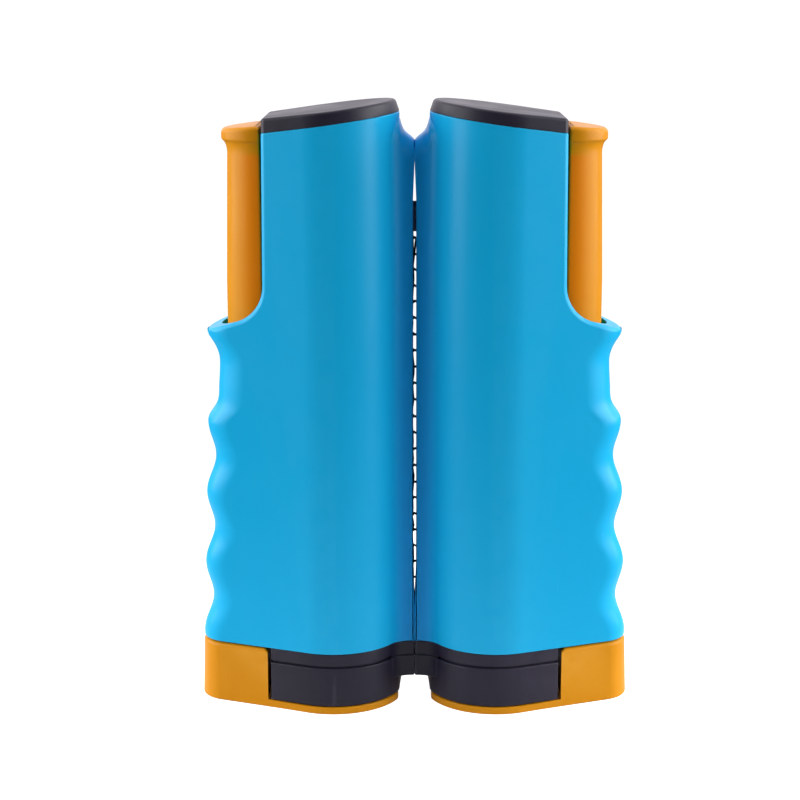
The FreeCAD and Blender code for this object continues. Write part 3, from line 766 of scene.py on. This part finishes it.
def gripEnd(z):
    # how far out the grip's nose reaches at height z
    h = housing
    if z <= h["waveTopZ"]:
        turn = min((h["waveTopZ"] - z) / h["wavePitch"], h["waves"])
        swing = math.cos(2 * math.pi * turn) * h["waveDepth"] / 2
        return post["flatX"] + h["waveOut"] - h["waveDepth"] / 2 + h["waveStep"] * turn + swing
    points = h["neck"]
    last = len(points) - 1
    i = max(n for n in range(last) if points[n][0] <= z)
    (z0, a), (z1, b) = points[i], points[i + 1]
    span = z1 - z0
    slopeA = 0 if i == 0 else (b - points[i - 1][1]) / (z1 - points[i - 1][0])
    slopeB = (b - a) / span if i + 1 == last else (points[i + 2][1] - a) / (points[i + 2][0] - z0)
    return eased((z - z0) / span, span, a, b, slopeA, slopeB, post["flatX"])


def liftGrip(obj, levels, endX, inset, most):
    # extrudes the plan up level by level and draws the nose in or out towards the sides' apex
    apex = post["spoolX"] + (post["tubeR"] - inset) / sinT
    z = levels[0]
    for level in levels[1:]:
        extrudeBy(0, 0, level - z)
        nextX = gripEnd(min(level, housing["neck"][-1][0])) - inset
        if level > housing["mouthLowZ"]:
            nextX = min(nextX, most - inset)
        share = (apex - nextX) / (apex - endX)
        pickVerts(obj, lambda p: p.z > level - 0.01 and p.x > post["flatX"] + 0.5)
        scaleBy((share, share, 1), apex, level)
        pickFaces(obj, lambda p, n: p.z > level - 0.01 and abs(n.z) > 0.9)
        z, endX = level, nextX


def scoopTool():
    h = housing
    fall = math.radians(h["scoopFall"])
    near = post["flatX"] + h["lean"]
    outX = near + h["scoopR"] * (1 - math.sin(fall)) + 40
    low = h["scoopZ"] - h["scoopR"] * math.cos(fall)
    moves = [
        ("arc", near + h["scoopR"], h["scoopZ"], 90 - h["scoopFall"], h["scoopSteps"]),
        ("line", outX, low - 40 * math.tan(fall)), ("line", outX, 220),
        ("line", post["flatX"] - h["lean"] * 0.6, 220),
    ]
    return prism("scoop", "side", -40, (near, h["scoopZ"]), moves, (0, -80, 0))


def gripSolid(name, inset, step):
    h = housing
    low = h["lowZ"] - 2 - inset
    levels = [low]
    while levels[-1] < h["lastLevelZ"] - step / 2:
        levels.append(levels[-1] + step)
    levels[-1] = h["lastLevelZ"]
    levels += [h["overZ"] - 16, h["overZ"]]
    endX = gripEnd(low)
    obj = drawOutline(name, "plan", low, *noseMoves(endX, inset, post["flatX"] if inset else None))
    pickFaces(obj)
    liftGrip(obj, levels, endX - inset, inset, h["mouthEnd"] if inset else 99)
    return obj


def topPlane(offset):
    slope = math.radians(housing["slope"])
    return dict(
        plane_co=toMetres((housing["innerX"], 0, housing["topZ"] + offset)),
        plane_no=(math.sin(slope), 0, math.cos(slope)), use_fill=True,
    )


def saddleAt(x):
    # height of the hollow between the cap and the wing's end
    points = housing["saddle"]
    if x >= points[-1][0]:
        return points[-1][1]
    i = max(n for n in range(len(points) - 1) if points[n][0] <= x)
    slopes = [(b[1] - a[1]) / (b[0] - a[0]) for a, b in zip(points, points[1:])]
    bends = [slopes[0]] + [(a + b) / 2 for a, b in zip(slopes, slopes[1:])] + [slopes[-1]]
    (x0, z0), (x1, z1) = points[i], points[i + 1]
    return eased((x - x0) / (x1 - x0), x1 - x0, z0, z1, bends[i], bends[i + 1])


def wingCorner():
    # the middle of the fillet between wing and tube, and how far the fillet turns
    h = housing
    reach = post["tubeR"] + h["wingFillet"]
    cornerY = h["wingHalf"] + h["wingFillet"]
    cornerX = post["spoolX"] - math.sqrt(reach ** 2 - cornerY ** 2)
    return cornerX, cornerY, math.degrees(math.asin((post["spoolX"] - cornerX) / reach))


def wingSolid():
    # the wing is drawn from its end and extruded outwards, rising along the saddle
    h = housing
    cornerX, cornerY, turn = wingCorner()
    endX = cornerX + h["wingFillet"] * math.sin(math.radians(turn))

    def halfAt(x):
        run = min(max(x - cornerX, 0), endX - cornerX)
        return cornerY - math.sqrt((h["wingFillet"] + h["wingSink"]) ** 2 - run ** 2)

    def leanAt(x):
        # how far the tube's draft takes the wing's root outwards
        return (post["spoolX"] - x) * (1 - h["wingDraft"]) if x > h["netFaceX"] else 0

    x = h["faceX"]
    half, top, bend, low = halfAt(x), saddleAt(x), h["wingRound"], h["lowZ"] - 3
    moves = [
        ("line", half, low), ("line", half, top - bend), ("arc", half - bend, top - bend, 90, 8),
        ("line", bend - half, top), ("arc", bend - half, top - bend, 90, 8), ("line", -half, low),
    ]
    obj = drawOutline("wing", "end", x, (-half, low), moves)
    pickFaces(obj)
    for nextX in [h["wingStep"] * n for n in range(1, h["wingSteps"] + 1)] + [endX, endX + 1.5]:
        extrudeBy(nextX - x, 0, 0)
        nextHalf, nextTop = halfAt(nextX), saddleAt(nextX + leanAt(nextX))
        scaleBy((1, nextHalf / half, 1))
        pickVerts(obj, lambda p: p.x > nextX - 0.01 and p.z > 100)
        moveBy(0, 0, nextTop - top)
        pickFaces(obj, lambda p, n: p.x > nextX - 0.01 and abs(n.x) > 0.9)
        x, half, top = nextX, nextHalf, nextTop
    selectAll()
    bpy.ops.mesh.bisect(plane_co=toMetres((0, 0, h["overZ"])), plane_no=(0, 0, 1))
    pickVerts(obj, lambda p: p.z > h["overZ"] + 0.5 and p.x > h["netFaceX"])
    scaleBy((h["wingDraft"], 1, 1), post["spoolX"])
    closeUp()
    low, high = h["faceLowZ"], h["slotHighZ"]
    near, far, taper = h["faceX"], h["netFaceX"], h["faceTaper"]
    moves = [
        ("line", near, low), ("line", far, low + taper), ("line", far, high),
        ("line", near, high + taper), ("line", -1, high + taper), ("line", -1, low),
    ]
    cut(obj, prism("wing_face", "side", -20, (-1, low), moves, (0, -40, 0)))
    return obj


def addInnerParts(obj):
    # the spring's ledge on its arm, the outer rail and the bosses of the screws
    h = housing
    half, low = h["railHalf"], h["ledgeZ"] - h["ledgeThick"]
    rail = block("outer_rail", h["outerRailX"], 70, -half, half, h["outerRailLowZ"], h["outerRailTopZ"])
    skin = gripSolid("grip_skin", 1.0, h["innerStep"])
    closeUp()
    combine(rail, skin, "INTERSECT")
    join(obj, rail)
    half = h["armHalf"]
    arm = block("ledge_arm", post["flatX"] - 1, h["ledgeX"], -half, half, low, h["ledgeZ"])
    join(arm, rod("ledge", h["ledgeR"], h["ledgeX"], 0, low, h["ledgeZ"]))
    join(obj, arm)
    for y in (-h["bossY"], h["bossY"]):
        join(obj, rod("boss", h["bossR"], h["bossX"], y, h["bossLowZ"], h["bossTopZ"], 32))


def makeHousing():
    h = housing
    flat, wall, slot = post["flatX"], h["wall"], h["slotHalf"]
    obj = gripSolid("right_housing_shell", 0, h["levelStep"])
    extrudeBy(0, 0, h["pullZ"] - h["overZ"])
    pickVerts(obj, lambda p: p.z > h["pullZ"] - 1 and p.x < post["spoolX"] - 0.01)
    scaleBy((h["draft"], 1, 1), post["spoolX"])
    selectAll()
    bpy.ops.mesh.bisect(clear_outer=True, **topPlane(0))
    selectAll()
    bpy.ops.mesh.dissolve_limited(angle_limit=math.radians(0.1))
    closeUp()
    cut(obj, scoopTool())
    edit(obj)
    roundEdges(
        obj, h["rimRound"], 5, 40,
        lambda p: p.x > flat - 0.1 and within(p.z, h["rimZ"]) and abs(p.y) > 0.01,
    )
    roundEdges(obj, h["topRound"], 3, 40, lambda p: p.z > h["topRoundZ"])
    closeUp()
    join(obj, wingSolid())
    print("housing: wing joined,", len(obj.data.polygons), "faces")
    inside = tubeSolid("inside", wall, h["lowZ"] - 5, 200)
    closeUp()
    half = h["wingSpaceHalf"]
    cut(obj, inside)
    cut(obj, block("wing_space", wall, h["wingSpaceX"], -half, half, h["wingSpaceZ"], h["slotHighZ"] + 3))
    cut(obj, block("slot", -1, 3, -slot, slot, h["slotLowZ"], h["slotHighZ"]))
    hollow = gripSolid("grip_space", wall, h["innerStep"])
    closeUp()
    cut(obj, hollow)
    addInnerParts(obj)
    cut(obj, block("under", -10, 90, -40, 40, 0, h["lowZ"]))
    print("housing: hollowed,", len(obj.data.polygons), "faces")
    edit(obj)
    inRim = lambda p: within(p.x, h["innerRimX"]) and within(p.z, h["innerRimZ"])
    roundEdges(obj, h["innerRimRound"], 3, 40, lambda p: inRim(p) and abs(p.y) < sideY(p.x, wall) + 0.3)
    onFace = lambda p: p.x < 0.8 and abs(p.y) > 8 and within(p.z, h["faceRoundZ"])
    roundEdges(obj, h["faceRound"], 3, 50, onFace)
    roundEdges(obj, h["lowRound"], 2, 50, lambda p: p.z < h["lowZ"] + 0.01)
    selectAll()
    bpy.ops.mesh.remove_doubles(threshold=0.01 * mm)
    closeUp()
    return obj


def dress(obj, slotName, angle, *replaced):
    # gives a finished piece its finish and hides the frame's nodes that it stands for
    obj.data.name = obj.name
    obj.data.materials.clear()
    obj.data.materials.append(finishes[slotName])
    smooth(obj, angle)
    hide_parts(*replaced)


def putOn(piece, kind, body, slotName, node, angle=38):
    # makes the left post's mirrored twin and puts both on their bodies
    twin = mirrored(piece, "left_" + kind)
    piece.name = "right_" + kind
    for obj, side in ((piece, "right_"), (twin, "left_")):
        dress(obj, slotName, angle, side + node)
        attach(obj, side + body)
    print(kind, "done,", len(piece.data.polygons), "faces")
    return piece, twin


putOn(makeHousing(), "housing_shell", "post", "blue_plastic", "housing")

# the black top cap

cap = {
    "lowZ": 170.0, "topZ": 193.42, "topX": 6.0, "topSlope": 7.0, "drawIn": 0.964, "endDraw": 0.94,
    "topRound": 0.9, "topSteps": 4, "lowRound": 0.2, "cornerRound": 1.2, "inner": 0.968,
    "skirtInset": 2.15, "skirtWall": 1.6, "skirtDeep": 6.0, "skirtOver": 1.8, "skirtZ": 160, "hollowZ": 155,
    "bossR": 4.4, "socketR": 2.05, "bossZ": 163.8, "socketZ": 176.05,
}


def cutSloped(offset, lower):
    selectAll()
    bpy.ops.mesh.bisect(clear_outer=not lower, clear_inner=lower, **topPlane(offset))


def lidAt(x):
    return cap["topZ"] - (x - cap["topX"]) * math.tan(math.radians(cap["topSlope"]))


def topAt(x):
    return housing["topZ"] - (x - housing["innerX"]) * math.tan(math.radians(housing["slope"]))


def makeCap():
    c = cap
    middle, slope, inset = post["spoolX"], math.radians(c["topSlope"]), c["skirtInset"]
    endX = post["flatX"]
    obj = tubeSolid("cap", 0, c["lowZ"], 40)
    pickVerts(obj, lambda p: p.x < middle - 0.01)
    scaleBy((c["inner"], 1, 1), middle)
    cutSloped(0, True)
    selectAll()
    bpy.ops.mesh.bisect(
        plane_co=toMetres((c["topX"], 0, c["topZ"])), plane_no=(math.sin(slope), 0, math.cos(slope)),
        use_fill=True, clear_outer=True,
    )
    pickFaces(obj, lambda p, n: p.z > lidAt(p.x) - 0.1 and n.z > 0.9)
    scaleBy((c["drawIn"], c["drawIn"], 1), middle)
    pickVerts(obj, lambda p: p.x < middle - 0.01 and p.z > lidAt(p.x) - 0.6)
    scaleBy((c["endDraw"], 1, 1), middle)
    roundEdges(
        obj, c["cornerRound"], 4, 40,
        lambda p: p.x > endX - 2.5 and abs(p.y) > 10 and topAt(p.x) + 0.5 < p.z < lidAt(p.x) - 0.5,
    )
    roundEdges(obj, c["topRound"], c["topSteps"], 30, lambda p: p.z > lidAt(p.x) - 0.3)
    roundEdges(obj, c["lowRound"], 2, 40, lambda p: p.z < topAt(p.x) + 0.1)
    closeUp()
    skirt = tubeSolid("skirt", inset, c["skirtZ"], 40)
    cutSloped(-c["skirtDeep"], True)
    cutSloped(c["skirtOver"], False)
    closeUp()
    hollow = tubeSolid("hollow", inset + c["skirtWall"], c["hollowZ"], 50)
    cutSloped(0, False)
    closeUp()
    cut(skirt, hollow)
    join(skirt, rod("boss", c["bossR"], middle, 0, c["bossZ"], topAt(middle) + 1))
    cut(skirt, rod("socket", c["socketR"], middle, 0, 150, c["socketZ"]))
    join(obj, skirt)
    return obj


putOn(makeCap(), "cap_lid", "post", "black_plastic", "top_cap")

# the orange thumb plunger

plunger = {
    "sides": 40, "flatX": 47.2, "endX": 59.1, "neckX": 58.2, "halfY": 12.02, "neckHalf": 12.02,
    "footZ": 19.6, "neckLowZ": 137.0, "coveZ": 177.1, "bandZ": 181.1,
    "bandX": 59.95, "bandHalf": 12.7, "topZ": 184.75, "rise": 1.3, "coveSteps": 6,
    "topRound": 1.4, "lipRound": 0.6, "cornerRound": 0.5,
    "keelX": 47.03, "keelHalf": 11.9, "keelZ": 146.0, "keelRound": 0.7,
    "boreX": 53.0, "boreR": 4.1, "boreZ": 171.0, "slotHalf": 2.6, "slotZ": 117.4,
    "screwY": 7.9, "screwR": 1.5, "screwZ": 33.4, "keelIn": 1.2, "pull": 12,
}


def makePlunger():
    p = plunger
    flat = p["flatX"]
    long, wide = p["endX"] - flat, p["halfY"]
    radius = (wide ** 2 + long ** 2) / (2 * long)
    centre = p["endX"] - radius
    turn = 2 * math.degrees(math.atan2(wide, flat - centre))
    if centre > flat:
        turn = 360 - 2 * math.degrees(math.atan2(wide, centre - flat))
    moves = [("arc", centre, 0, turn, p["sides"]), ("line", flat, -wide)]
    obj = drawOutline("plunger", "plan", p["footZ"], (flat, -wide), moves)
    pickFaces(obj)
    rings = [(p["neckLowZ"], p["endX"], p["halfY"]), (p["coveZ"], p["neckX"], p["neckHalf"])]
    for step in range(1, p["coveSteps"] + 1):
        part = math.pi / 2 * step / p["coveSteps"]
        share = 1 - math.cos(part)
        rings.append((
            p["coveZ"] + (p["bandZ"] - p["coveZ"]) * math.sin(part),
            p["neckX"] + (p["bandX"] - p["neckX"]) * share,
            p["neckHalf"] + (p["bandHalf"] - p["neckHalf"]) * share,
        ))
    z = p["footZ"]
    for nextZ, endX, nextWide in rings:
        extrudeBy(0, 0, nextZ - z)
        scaleBy(((endX - flat) / long, nextWide / wide, 1), flat, nextZ)
        z, wide, long = nextZ, nextWide, endX - flat
    extrudeBy(0, 0, p["pull"])
    selectAll()
    bpy.ops.mesh.bisect(
        plane_co=toMetres((p["bandX"], 0, p["topZ"])), plane_no=(p["rise"] / (p["bandX"] - flat), 0, 1),
        use_fill=True, clear_outer=True,
    )
    roundEdges(obj, p["topRound"], 4, 50, lambda q: q.z > p["topZ"] - 0.05)
    roundEdges(obj, p["lipRound"], 3, 40, lambda q: abs(q.z - p["bandZ"]) < 0.02 and q.x > flat + 0.1)
    roundEdges(
        obj, p["cornerRound"], 3, 50,
        lambda q: q.x < flat + 0.05 and abs(q.y) > p["halfY"] - 0.1 and p["footZ"] < q.z < p["topZ"] - 1,
    )
    closeUp()
    half, slot, bore = p["keelHalf"], p["slotHalf"], p["boreX"]
    keel = block("keel", p["keelX"], flat + p["keelIn"], -half, half, p["footZ"], p["keelZ"])
    edit(keel)
    roundEdges(keel, p["keelRound"], 3, 50, lambda q: q.x < flat and (q.z > p["keelZ"] - 1 or abs(q.y) > 5))
    closeUp()
    join(obj, keel)
    cut(obj, rod("bore", p["boreR"], bore, 0, 10, p["boreZ"]))
    cut(obj, block("slot", 40, bore, -slot, slot, 5, p["slotZ"]))
    for y in (-p["screwY"], p["screwY"]):
        cut(obj, rod("screw_hole", p["screwR"], bore, y, 12, p["screwZ"], 24))
    return cleaned(obj)


putOn(makePlunger(), "thumb_plunger", "clamp", "orange_plastic", "plunger")

# the black fixed jaw and the orange moving jaw, from the frame's own solids with their edges eased

jaws = {
    "blockRound": 0.5, "bandRound": 0.25, "cornerRound": 1.1, "sideRound": 0.25,
    "footRound": 0.6, "plateRound": 0.5, "endRound": 0.2,
    "blockNoseX": 46.1, "blockDrop": 0.15, "blockEndX": 4.95, "plateDrop": 0.15, "plateEndX": 5.35,
    "touchX": 0.0005, "blockLowZ": 3.0, "stepZ": 15.6, "bandZ": (15.8, 20.1), "sideHalf": 14.5,
    "noseX": 48, "noseMidX": 57, "noseMidR": 9.5, "noseTop": 0.958, "noseLow": 0.985,
    "plateX": 46, "plateTopZ": 2.7, "gapX": (46.5, 46.8), "gapZ": (2.7, 18.9), "footTopZ": 18,
    "ledgeLowZ": 8.15, "ledgeHighZ": 15.5, "ledgeProud": 0.5, "ledgeRound": 0.5, "ledgeFoot": 0.9,
    "ledgeBackX": 6.2, "ledgeBackHalf": 9.5, "ledgeTipRound": 0.4, "ledgeTipZ": (9.2, 14.9),
}


def shrinkVerts(piece, test, scale, about):
    pickVerts(piece, test)
    scaleBy(scale, about)


def shiftVerts(piece, test, x, z):
    pickVerts(piece, test)
    moveBy(x, 0, z)


def copied(node):
    # a merged copy of a solid of the frame, left in edit mode
    activate(nodes[node])
    bpy.ops.object.duplicate()
    piece = bpy.context.object
    piece.parent = None
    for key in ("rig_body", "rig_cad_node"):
        del piece[key]
    bpy.ops.mesh.customdata_custom_splitnormals_clear()
    setMode("EDIT")
    selectAll()
    bpy.ops.mesh.remove_doubles(threshold=0.002 * mm)
    bpy.ops.mesh.dissolve_limited(angle_limit=math.radians(0.4))
    return piece


def softened(piece, *rounds):
    for width, steps, least, test in rounds:
        roundEdges(piece, width, steps, least, test)
    selectAll()
    bpy.ops.mesh.remove_doubles(threshold=0.004 * mm)
    setMode("OBJECT")
    return piece


def onOutline(p, inset, endX):
    # near the post's plan outline at that inset
    if p.x > endX - 0.3:
        return True
    tangentX = post["spoolX"] + (post["tubeR"] - inset) * sinT
    if p.x > tangentX:
        return abs(p.y) > sideY(p.x, inset) - 0.3
    return math.hypot(p.x - post["spoolX"], p.y) > post["tubeR"] - inset - 0.3


def makeLedge():
    # the proud lower part where it runs on round the fillet and over the wing
    h, j = housing, jaws
    out = h["wingFillet"] - j["ledgeProud"]
    cornerX, cornerY, turn = wingCorner()
    endX, endY = cornerX + out * math.sin(math.radians(turn)), cornerY - out * math.cos(math.radians(turn))
    half, face = h["wingHalf"] + j["ledgeProud"], j["touchX"]
    back, backHalf = j["ledgeBackX"], j["ledgeBackHalf"]
    moves = [
        ("line", cornerX, -half), ("arc", cornerX, -cornerY, -turn, 10),
        ("line", endX + 0.6, -endY + 1.6), ("line", back, -backHalf), ("line", back, backHalf),
        ("line", endX + 0.6, endY - 1.6), ("line", endX, endY), ("arc", cornerX, cornerY, -turn, 10),
        ("line", face, half), ("line", face, -half),
    ]
    obj = drawOutline("wing_ledge", "plan", j["ledgeLowZ"], (face, -half), moves)
    extrudeBy(0, 0, j["ledgeHighZ"] - j["ledgeLowZ"])
    outer = lambda p: p.x < endX - 0.1 and abs(p.y) > half - 0.2
    roundEdges(obj, j["ledgeRound"], 3, 50, lambda p: p.z > j["ledgeHighZ"] - 0.1 and outer(p))
    roundEdges(obj, j["ledgeFoot"], 4, 50, lambda p: p.z < j["ledgeLowZ"] + 0.1 and (outer(p) or p.x < 0.1))
    tip = lambda p: p.x < 0.1 and abs(p.y) > half - 1 and within(p.z, j["ledgeTipZ"])
    roundEdges(obj, j["ledgeTipRound"], 3, 50, tip)
    closeUp()
    return obj


def makeBlock():
    j = jaws
    piece = copied("right_base_block")
    endX, noseX, lowZ, stepZ = j["blockEndX"], j["blockNoseX"], j["blockLowZ"], j["stepZ"]
    rim = lambda p: onOutline(p, -0.5, noseX) or p.x < endX + 0.1 and p.z < lowZ
    shiftVerts(piece, lambda p: p.z < lowZ and rim(p), 0, -j["blockDrop"])
    shrinkVerts(piece, lambda p: p.z < lowZ and p.x < endX and rim(p), (0, 1, 1), endX)
    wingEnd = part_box("right_base_block")[0][0] / mm
    shiftVerts(piece, lambda p: p.x < wingEnd + 0.01, j["touchX"] - wingEnd, 0)
    softened(
        piece,
        (j["cornerRound"], 4, 50, lambda p: p.z < lowZ + 0.5 and p.x > noseX - 0.2 and abs(p.y) > 14),
        (j["blockRound"], 3, 50, lambda p: p.z < stepZ and p.x < noseX - 0.1 and rim(p)),
        (j["sideRound"], 2, 50, lambda p: p.z < stepZ and p.x > noseX - 0.1 and abs(p.y) > j["sideHalf"]),
        (j["bandRound"], 2, 50, lambda p: within(p.z, j["bandZ"]) and onOutline(p, 0, noseX)),
    )
    combine(piece, makeLedge(), "UNION", "MANIFOLD")
    return cleaned(piece)


def makeFoot():
    j = jaws
    piece = copied("right_clamp_foot")
    endX, flat, plateX = j["plateEndX"], post["flatX"], j["plateX"]
    fromMid = lambda p: math.hypot(p.x - j["noseMidX"], p.y)
    nose = lambda p: p.x > j["noseX"] and fromMid(p) > j["noseMidR"]
    rim = lambda p, inset=-0.5: p.z < j["plateTopZ"] and onOutline(p, inset, 99)
    shiftVerts(piece, lambda p: p.z > 2.5 and p.x < plateX and rim(p), 0, -j["plateDrop"])
    shrinkVerts(piece, lambda p: p.x < endX and rim(p), (0, 1, 1), endX)
    shrinkVerts(piece, lambda p: p.z > 10 and nose(p), (j["noseTop"], 1, 1), flat)
    shrinkVerts(piece, lambda p: p.z < 1 and nose(p), (j["noseLow"], 1, 1), flat)
    return softened(
        piece,
        (j["plateRound"], 3, 50, lambda p: p.x < plateX and rim(p, 1.2)),
        (j["plateRound"], 3, 50, lambda p: p.z < 1 and p.x > plateX and fromMid(p) > j["noseMidR"] - 0.5),
        (j["footRound"], 3, 30, lambda p: p.z > j["footTopZ"] and p.x > plateX),
        (j["endRound"], 2, 50, lambda p: within(p.x, j["gapX"]) and abs(p.y) > 11 and within(p.z, j["gapZ"])),
    )


putOn(makeBlock(), "jaw_block", "post", "black_plastic", "base_block")
putOn(makeFoot(), "jaw_foot", "clamp", "orange_plastic", "clamp_foot")

# the springs, wound from a wire circle

springs = {
    "clamp": {
        "x": 53.0, "coilR": 3.2, "wireR": 0.4, "turns": 24, "steps": 18, "lowZ": 72.05, "highZ": 170.95,
    },
    "winding": {
        "x": 26.0, "coilR": 3.0, "wireR": 0.35, "turns": 30, "steps": 18, "lowZ": 32.6, "highZ": 146.75,
    },
}


def makeSpring(name, s):
    low, high = s["lowZ"] + s["wireR"], s["highZ"] - s["wireR"]
    bpy.ops.object.select_all(action="DESELECT")
    bpy.ops.mesh.primitive_circle_add(
        vertices=8, radius=s["wireR"] * mm, location=toMetres((s["x"], 0, low)),
        rotation=(math.radians(90), 0, 0),
    )
    obj = bpy.context.object
    obj.name = name
    bpy.ops.object.transform_apply(location=False, rotation=True, scale=True)
    setMode("EDIT")
    selectAll()
    moveBy(s["coilR"], 0, 0)
    setMode("OBJECT")
    coil = obj.modifiers.new("coil", "SCREW")
    coil.angle = 2 * math.pi
    coil.screw_offset = (high - low) / s["turns"] * mm
    coil.iterations = s["turns"]
    coil.steps = coil.render_steps = s["steps"]
    applyAll(obj)
    bpy.ops.object.transform_apply(location=True, rotation=False, scale=False)
    edit(obj)
    bpy.ops.mesh.select_mode(type="EDGE")
    bpy.ops.mesh.select_all(action="DESELECT")
    bpy.ops.mesh.select_non_manifold()
    bpy.ops.mesh.fill_holes(sides=8)
    closeUp()
    return obj


def makeSprings():
    winding = makeSpring("winding_coil", springs["winding"])
    putOn(winding, "winding_coil", "post", "steel", "winding_spring", 60)
    s = springs["clamp"]
    coil = makeSpring("right_clamp_coil", s)
    for obj, side, sign in ((coil, "right_", 1), (mirrored(coil, "left_clamp_coil"), "left_", -1)):
        dress(obj, "steel", 60, side + "clamp_spring")
        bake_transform(obj)
    print("springs wound")


makeSprings()

# the net: threads and folded tapes between the posts, and a wound roll on each spool

net = {
    "lowZ": 23.7, "highZ": 161.8, "tapeHigh": 9.4, "foldR": 0.34, "tapeCloth": 0.3, "tuck": 1.5,
    "thread": 0.43, "knot": 1.9, "firstZ": 33.7, "pitch": 5.3, "rows": 22, "rowLift": 1.15,
    "bendX": 8.225, "leaveX": 14.01, "leaveY": 8.33, "columns": (-11.4, -6.1, -0.66, 4.75, 10.1),
    "sag": 0.22, "lean": 0.3, "seed": 7, "laceTop": (0.5, 150.4), "laceFoot": (-0.62, 141.0),
    "rollOut": 14.1, "rollIn": 6.9, "rollStart": 145, "rollTurns": 14, "rollSteps": 30, "rollCloth": 0.34,
    "rollLength": 0.93, "flatLength": 0.0364, "stretchHalf": 0.45, "threadShare": 0.42,
}
netRandom = random.Random(net["seed"])


def netY(x):
    # the net leaves the rolls at their back and runs straight through both slots
    run = max(abs(x) - net["bendX"], 0) / (net["leaveX"] - net["bendX"])
    return net["leaveY"] * run


def netRun():
    # places along the net, closer together where it crosses the gap
    xs = [-net["leaveX"], -11, -net["bendX"], -5, -2.4, -1.2, -0.7, -0.35, 0]
    return xs + [-x for x in reversed(xs[:-1])]


def sweepNet(drift=0.0):
    # draws what is selected along the net
    xs = netRun()
    wander = 0.0
    for x0, x1 in zip(xs, xs[1:]):
        nextWander = netRandom.uniform(-drift, drift)
        extrudeBy(x1 - x0, netY(x1) - netY(x0), nextWander - wander)
        wander = nextWander


def makeTape(name, foldZ, openZ):
    # a strip of webbing folded over the edge of the net
    way = 1 if foldZ > openZ else -1
    r = net["foldR"]
    moves = [("line", -r, foldZ - way * r), ("arc", 0, foldZ - way * r, -180 * way, 6), ("line", r, openZ)]
    obj = drawOutline(name, "end", -net["leaveX"], (-r, openZ), moves, close=False)
    moveBy(0, net["leaveY"], 0)
    sweepNet()
    closeUp()
    return thickened(obj, net["tapeCloth"])


def rowAt(row):
    # the rows lie a little closer together towards the top
    lift = net["rowLift"] * math.sin(math.pi * (row / net["rows"]) ** 1.8)
    return net["firstZ"] + row * net["pitch"] + lift


def makeLace():
    # the slanting lace in the two topmost meshes of the gap
    (x0, z0), (x1, z1) = net["laceTop"], net["laceFoot"]
    run = Vector((x1 - x0, 0, z1 - z0))
    obj = rod("net_lace", net["thread"] * 0.8, 0, 0, -run.length / 2, run.length / 2, 8)
    obj.rotation_euler = run.to_track_quat("Z", "Y").to_euler()
    obj.location = toMetres(((x0 + x1) / 2, 0, (z0 + z1) / 2))
    bpy.ops.object.transform_apply()
    return obj


def makeThreads():
    n = net
    rows, deep = n["rows"], n["tapeHigh"] - n["tuck"]
    low, high = n["lowZ"] + deep, n["highZ"] - deep
    threads = [makeLace()]
    for row in range(rows + 1):
        obj = addCircle("net_thread", n["thread"], -n["leaveX"], n["leaveY"], rowAt(row), 90)
        sweepNet(n["sag"])
        closeUp()
        threads.append(obj)
    for x in n["columns"]:
        obj = addCircle("net_thread", n["thread"], x, netY(x), low)
        steps = 2 * rows
        lean = 0.0
        for step in range(steps):
            nextLean = netRandom.uniform(-n["lean"], n["lean"])
            extrudeBy(nextLean - lean, 0, (high - low) / steps)
            lean = nextLean
        closeUp()
        threads.append(obj)
        for row in range(rows + 1):
            threads.append(added(
                "net_knot", bpy.ops.mesh.primitive_ico_sphere_add, subdivisions=1,
                radius=n["thread"] * n["knot"] * mm, location=toMetres((x, netY(x), rowAt(row))),
                rotation=(netRandom.uniform(0, 3), netRandom.uniform(0, 3), 0),
            ))
    activate(threads[0])
    for obj in threads:
        obj.select_set(True)
    bpy.ops.object.join()
    return bpy.context.object


def makeRoll(name):
    # the wound net: one strip drawn in a spiral, from the outside in
    n = net
    steps = n["rollTurns"] * n["rollSteps"]

    def at(step):
        radius = n["rollOut"] + (n["rollIn"] - n["rollOut"]) * (step / steps)
        angle = math.radians(n["rollStart"]) + 2 * math.pi * step / n["rollSteps"]
        return Vector((post["spoolX"] + radius * math.cos(angle), radius * math.sin(angle)))

    obj = addPoint(name, toMetres((*at(0), n["lowZ"])))
    extrudeBy(0, 0, n["highZ"] - n["lowZ"])
    selectAll()
    for step in range(steps):
        a, b = at(step), at(step + 1)
        extrudeBy(b.x - a.x, b.y - a.y, 0)
    closeUp()
    return thickened(obj, n["rollCloth"])


def makeNet():
    n = net
    half, long, tape = n["stretchHalf"] * mm, n["flatLength"], n["tapeHigh"]
    upper = makeTape("net_upper_webbing", n["highZ"], n["highZ"] - tape)
    lower = makeTape("net_lower_webbing", n["lowZ"], n["lowZ"] + tape)
    threads = makeThreads()
    threads.name = "net_threads"
    for obj, node, slotName in (
        (upper, "net_top_tape", "tape_cloth"), (lower, "net_bottom_tape", "tape_cloth"),
        (threads, "net_mesh", "net_cord"),
    ):
        dress(obj, slotName, 50, node)
        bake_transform(obj)
    roll = makeRoll("net_wound")
    for obj in putOn(roll, "net_wound", "spool", "net_cord", "net_roll", 50):
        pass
    print("net done,", len(threads.data.polygons), "faces in its threads")


makeNet()
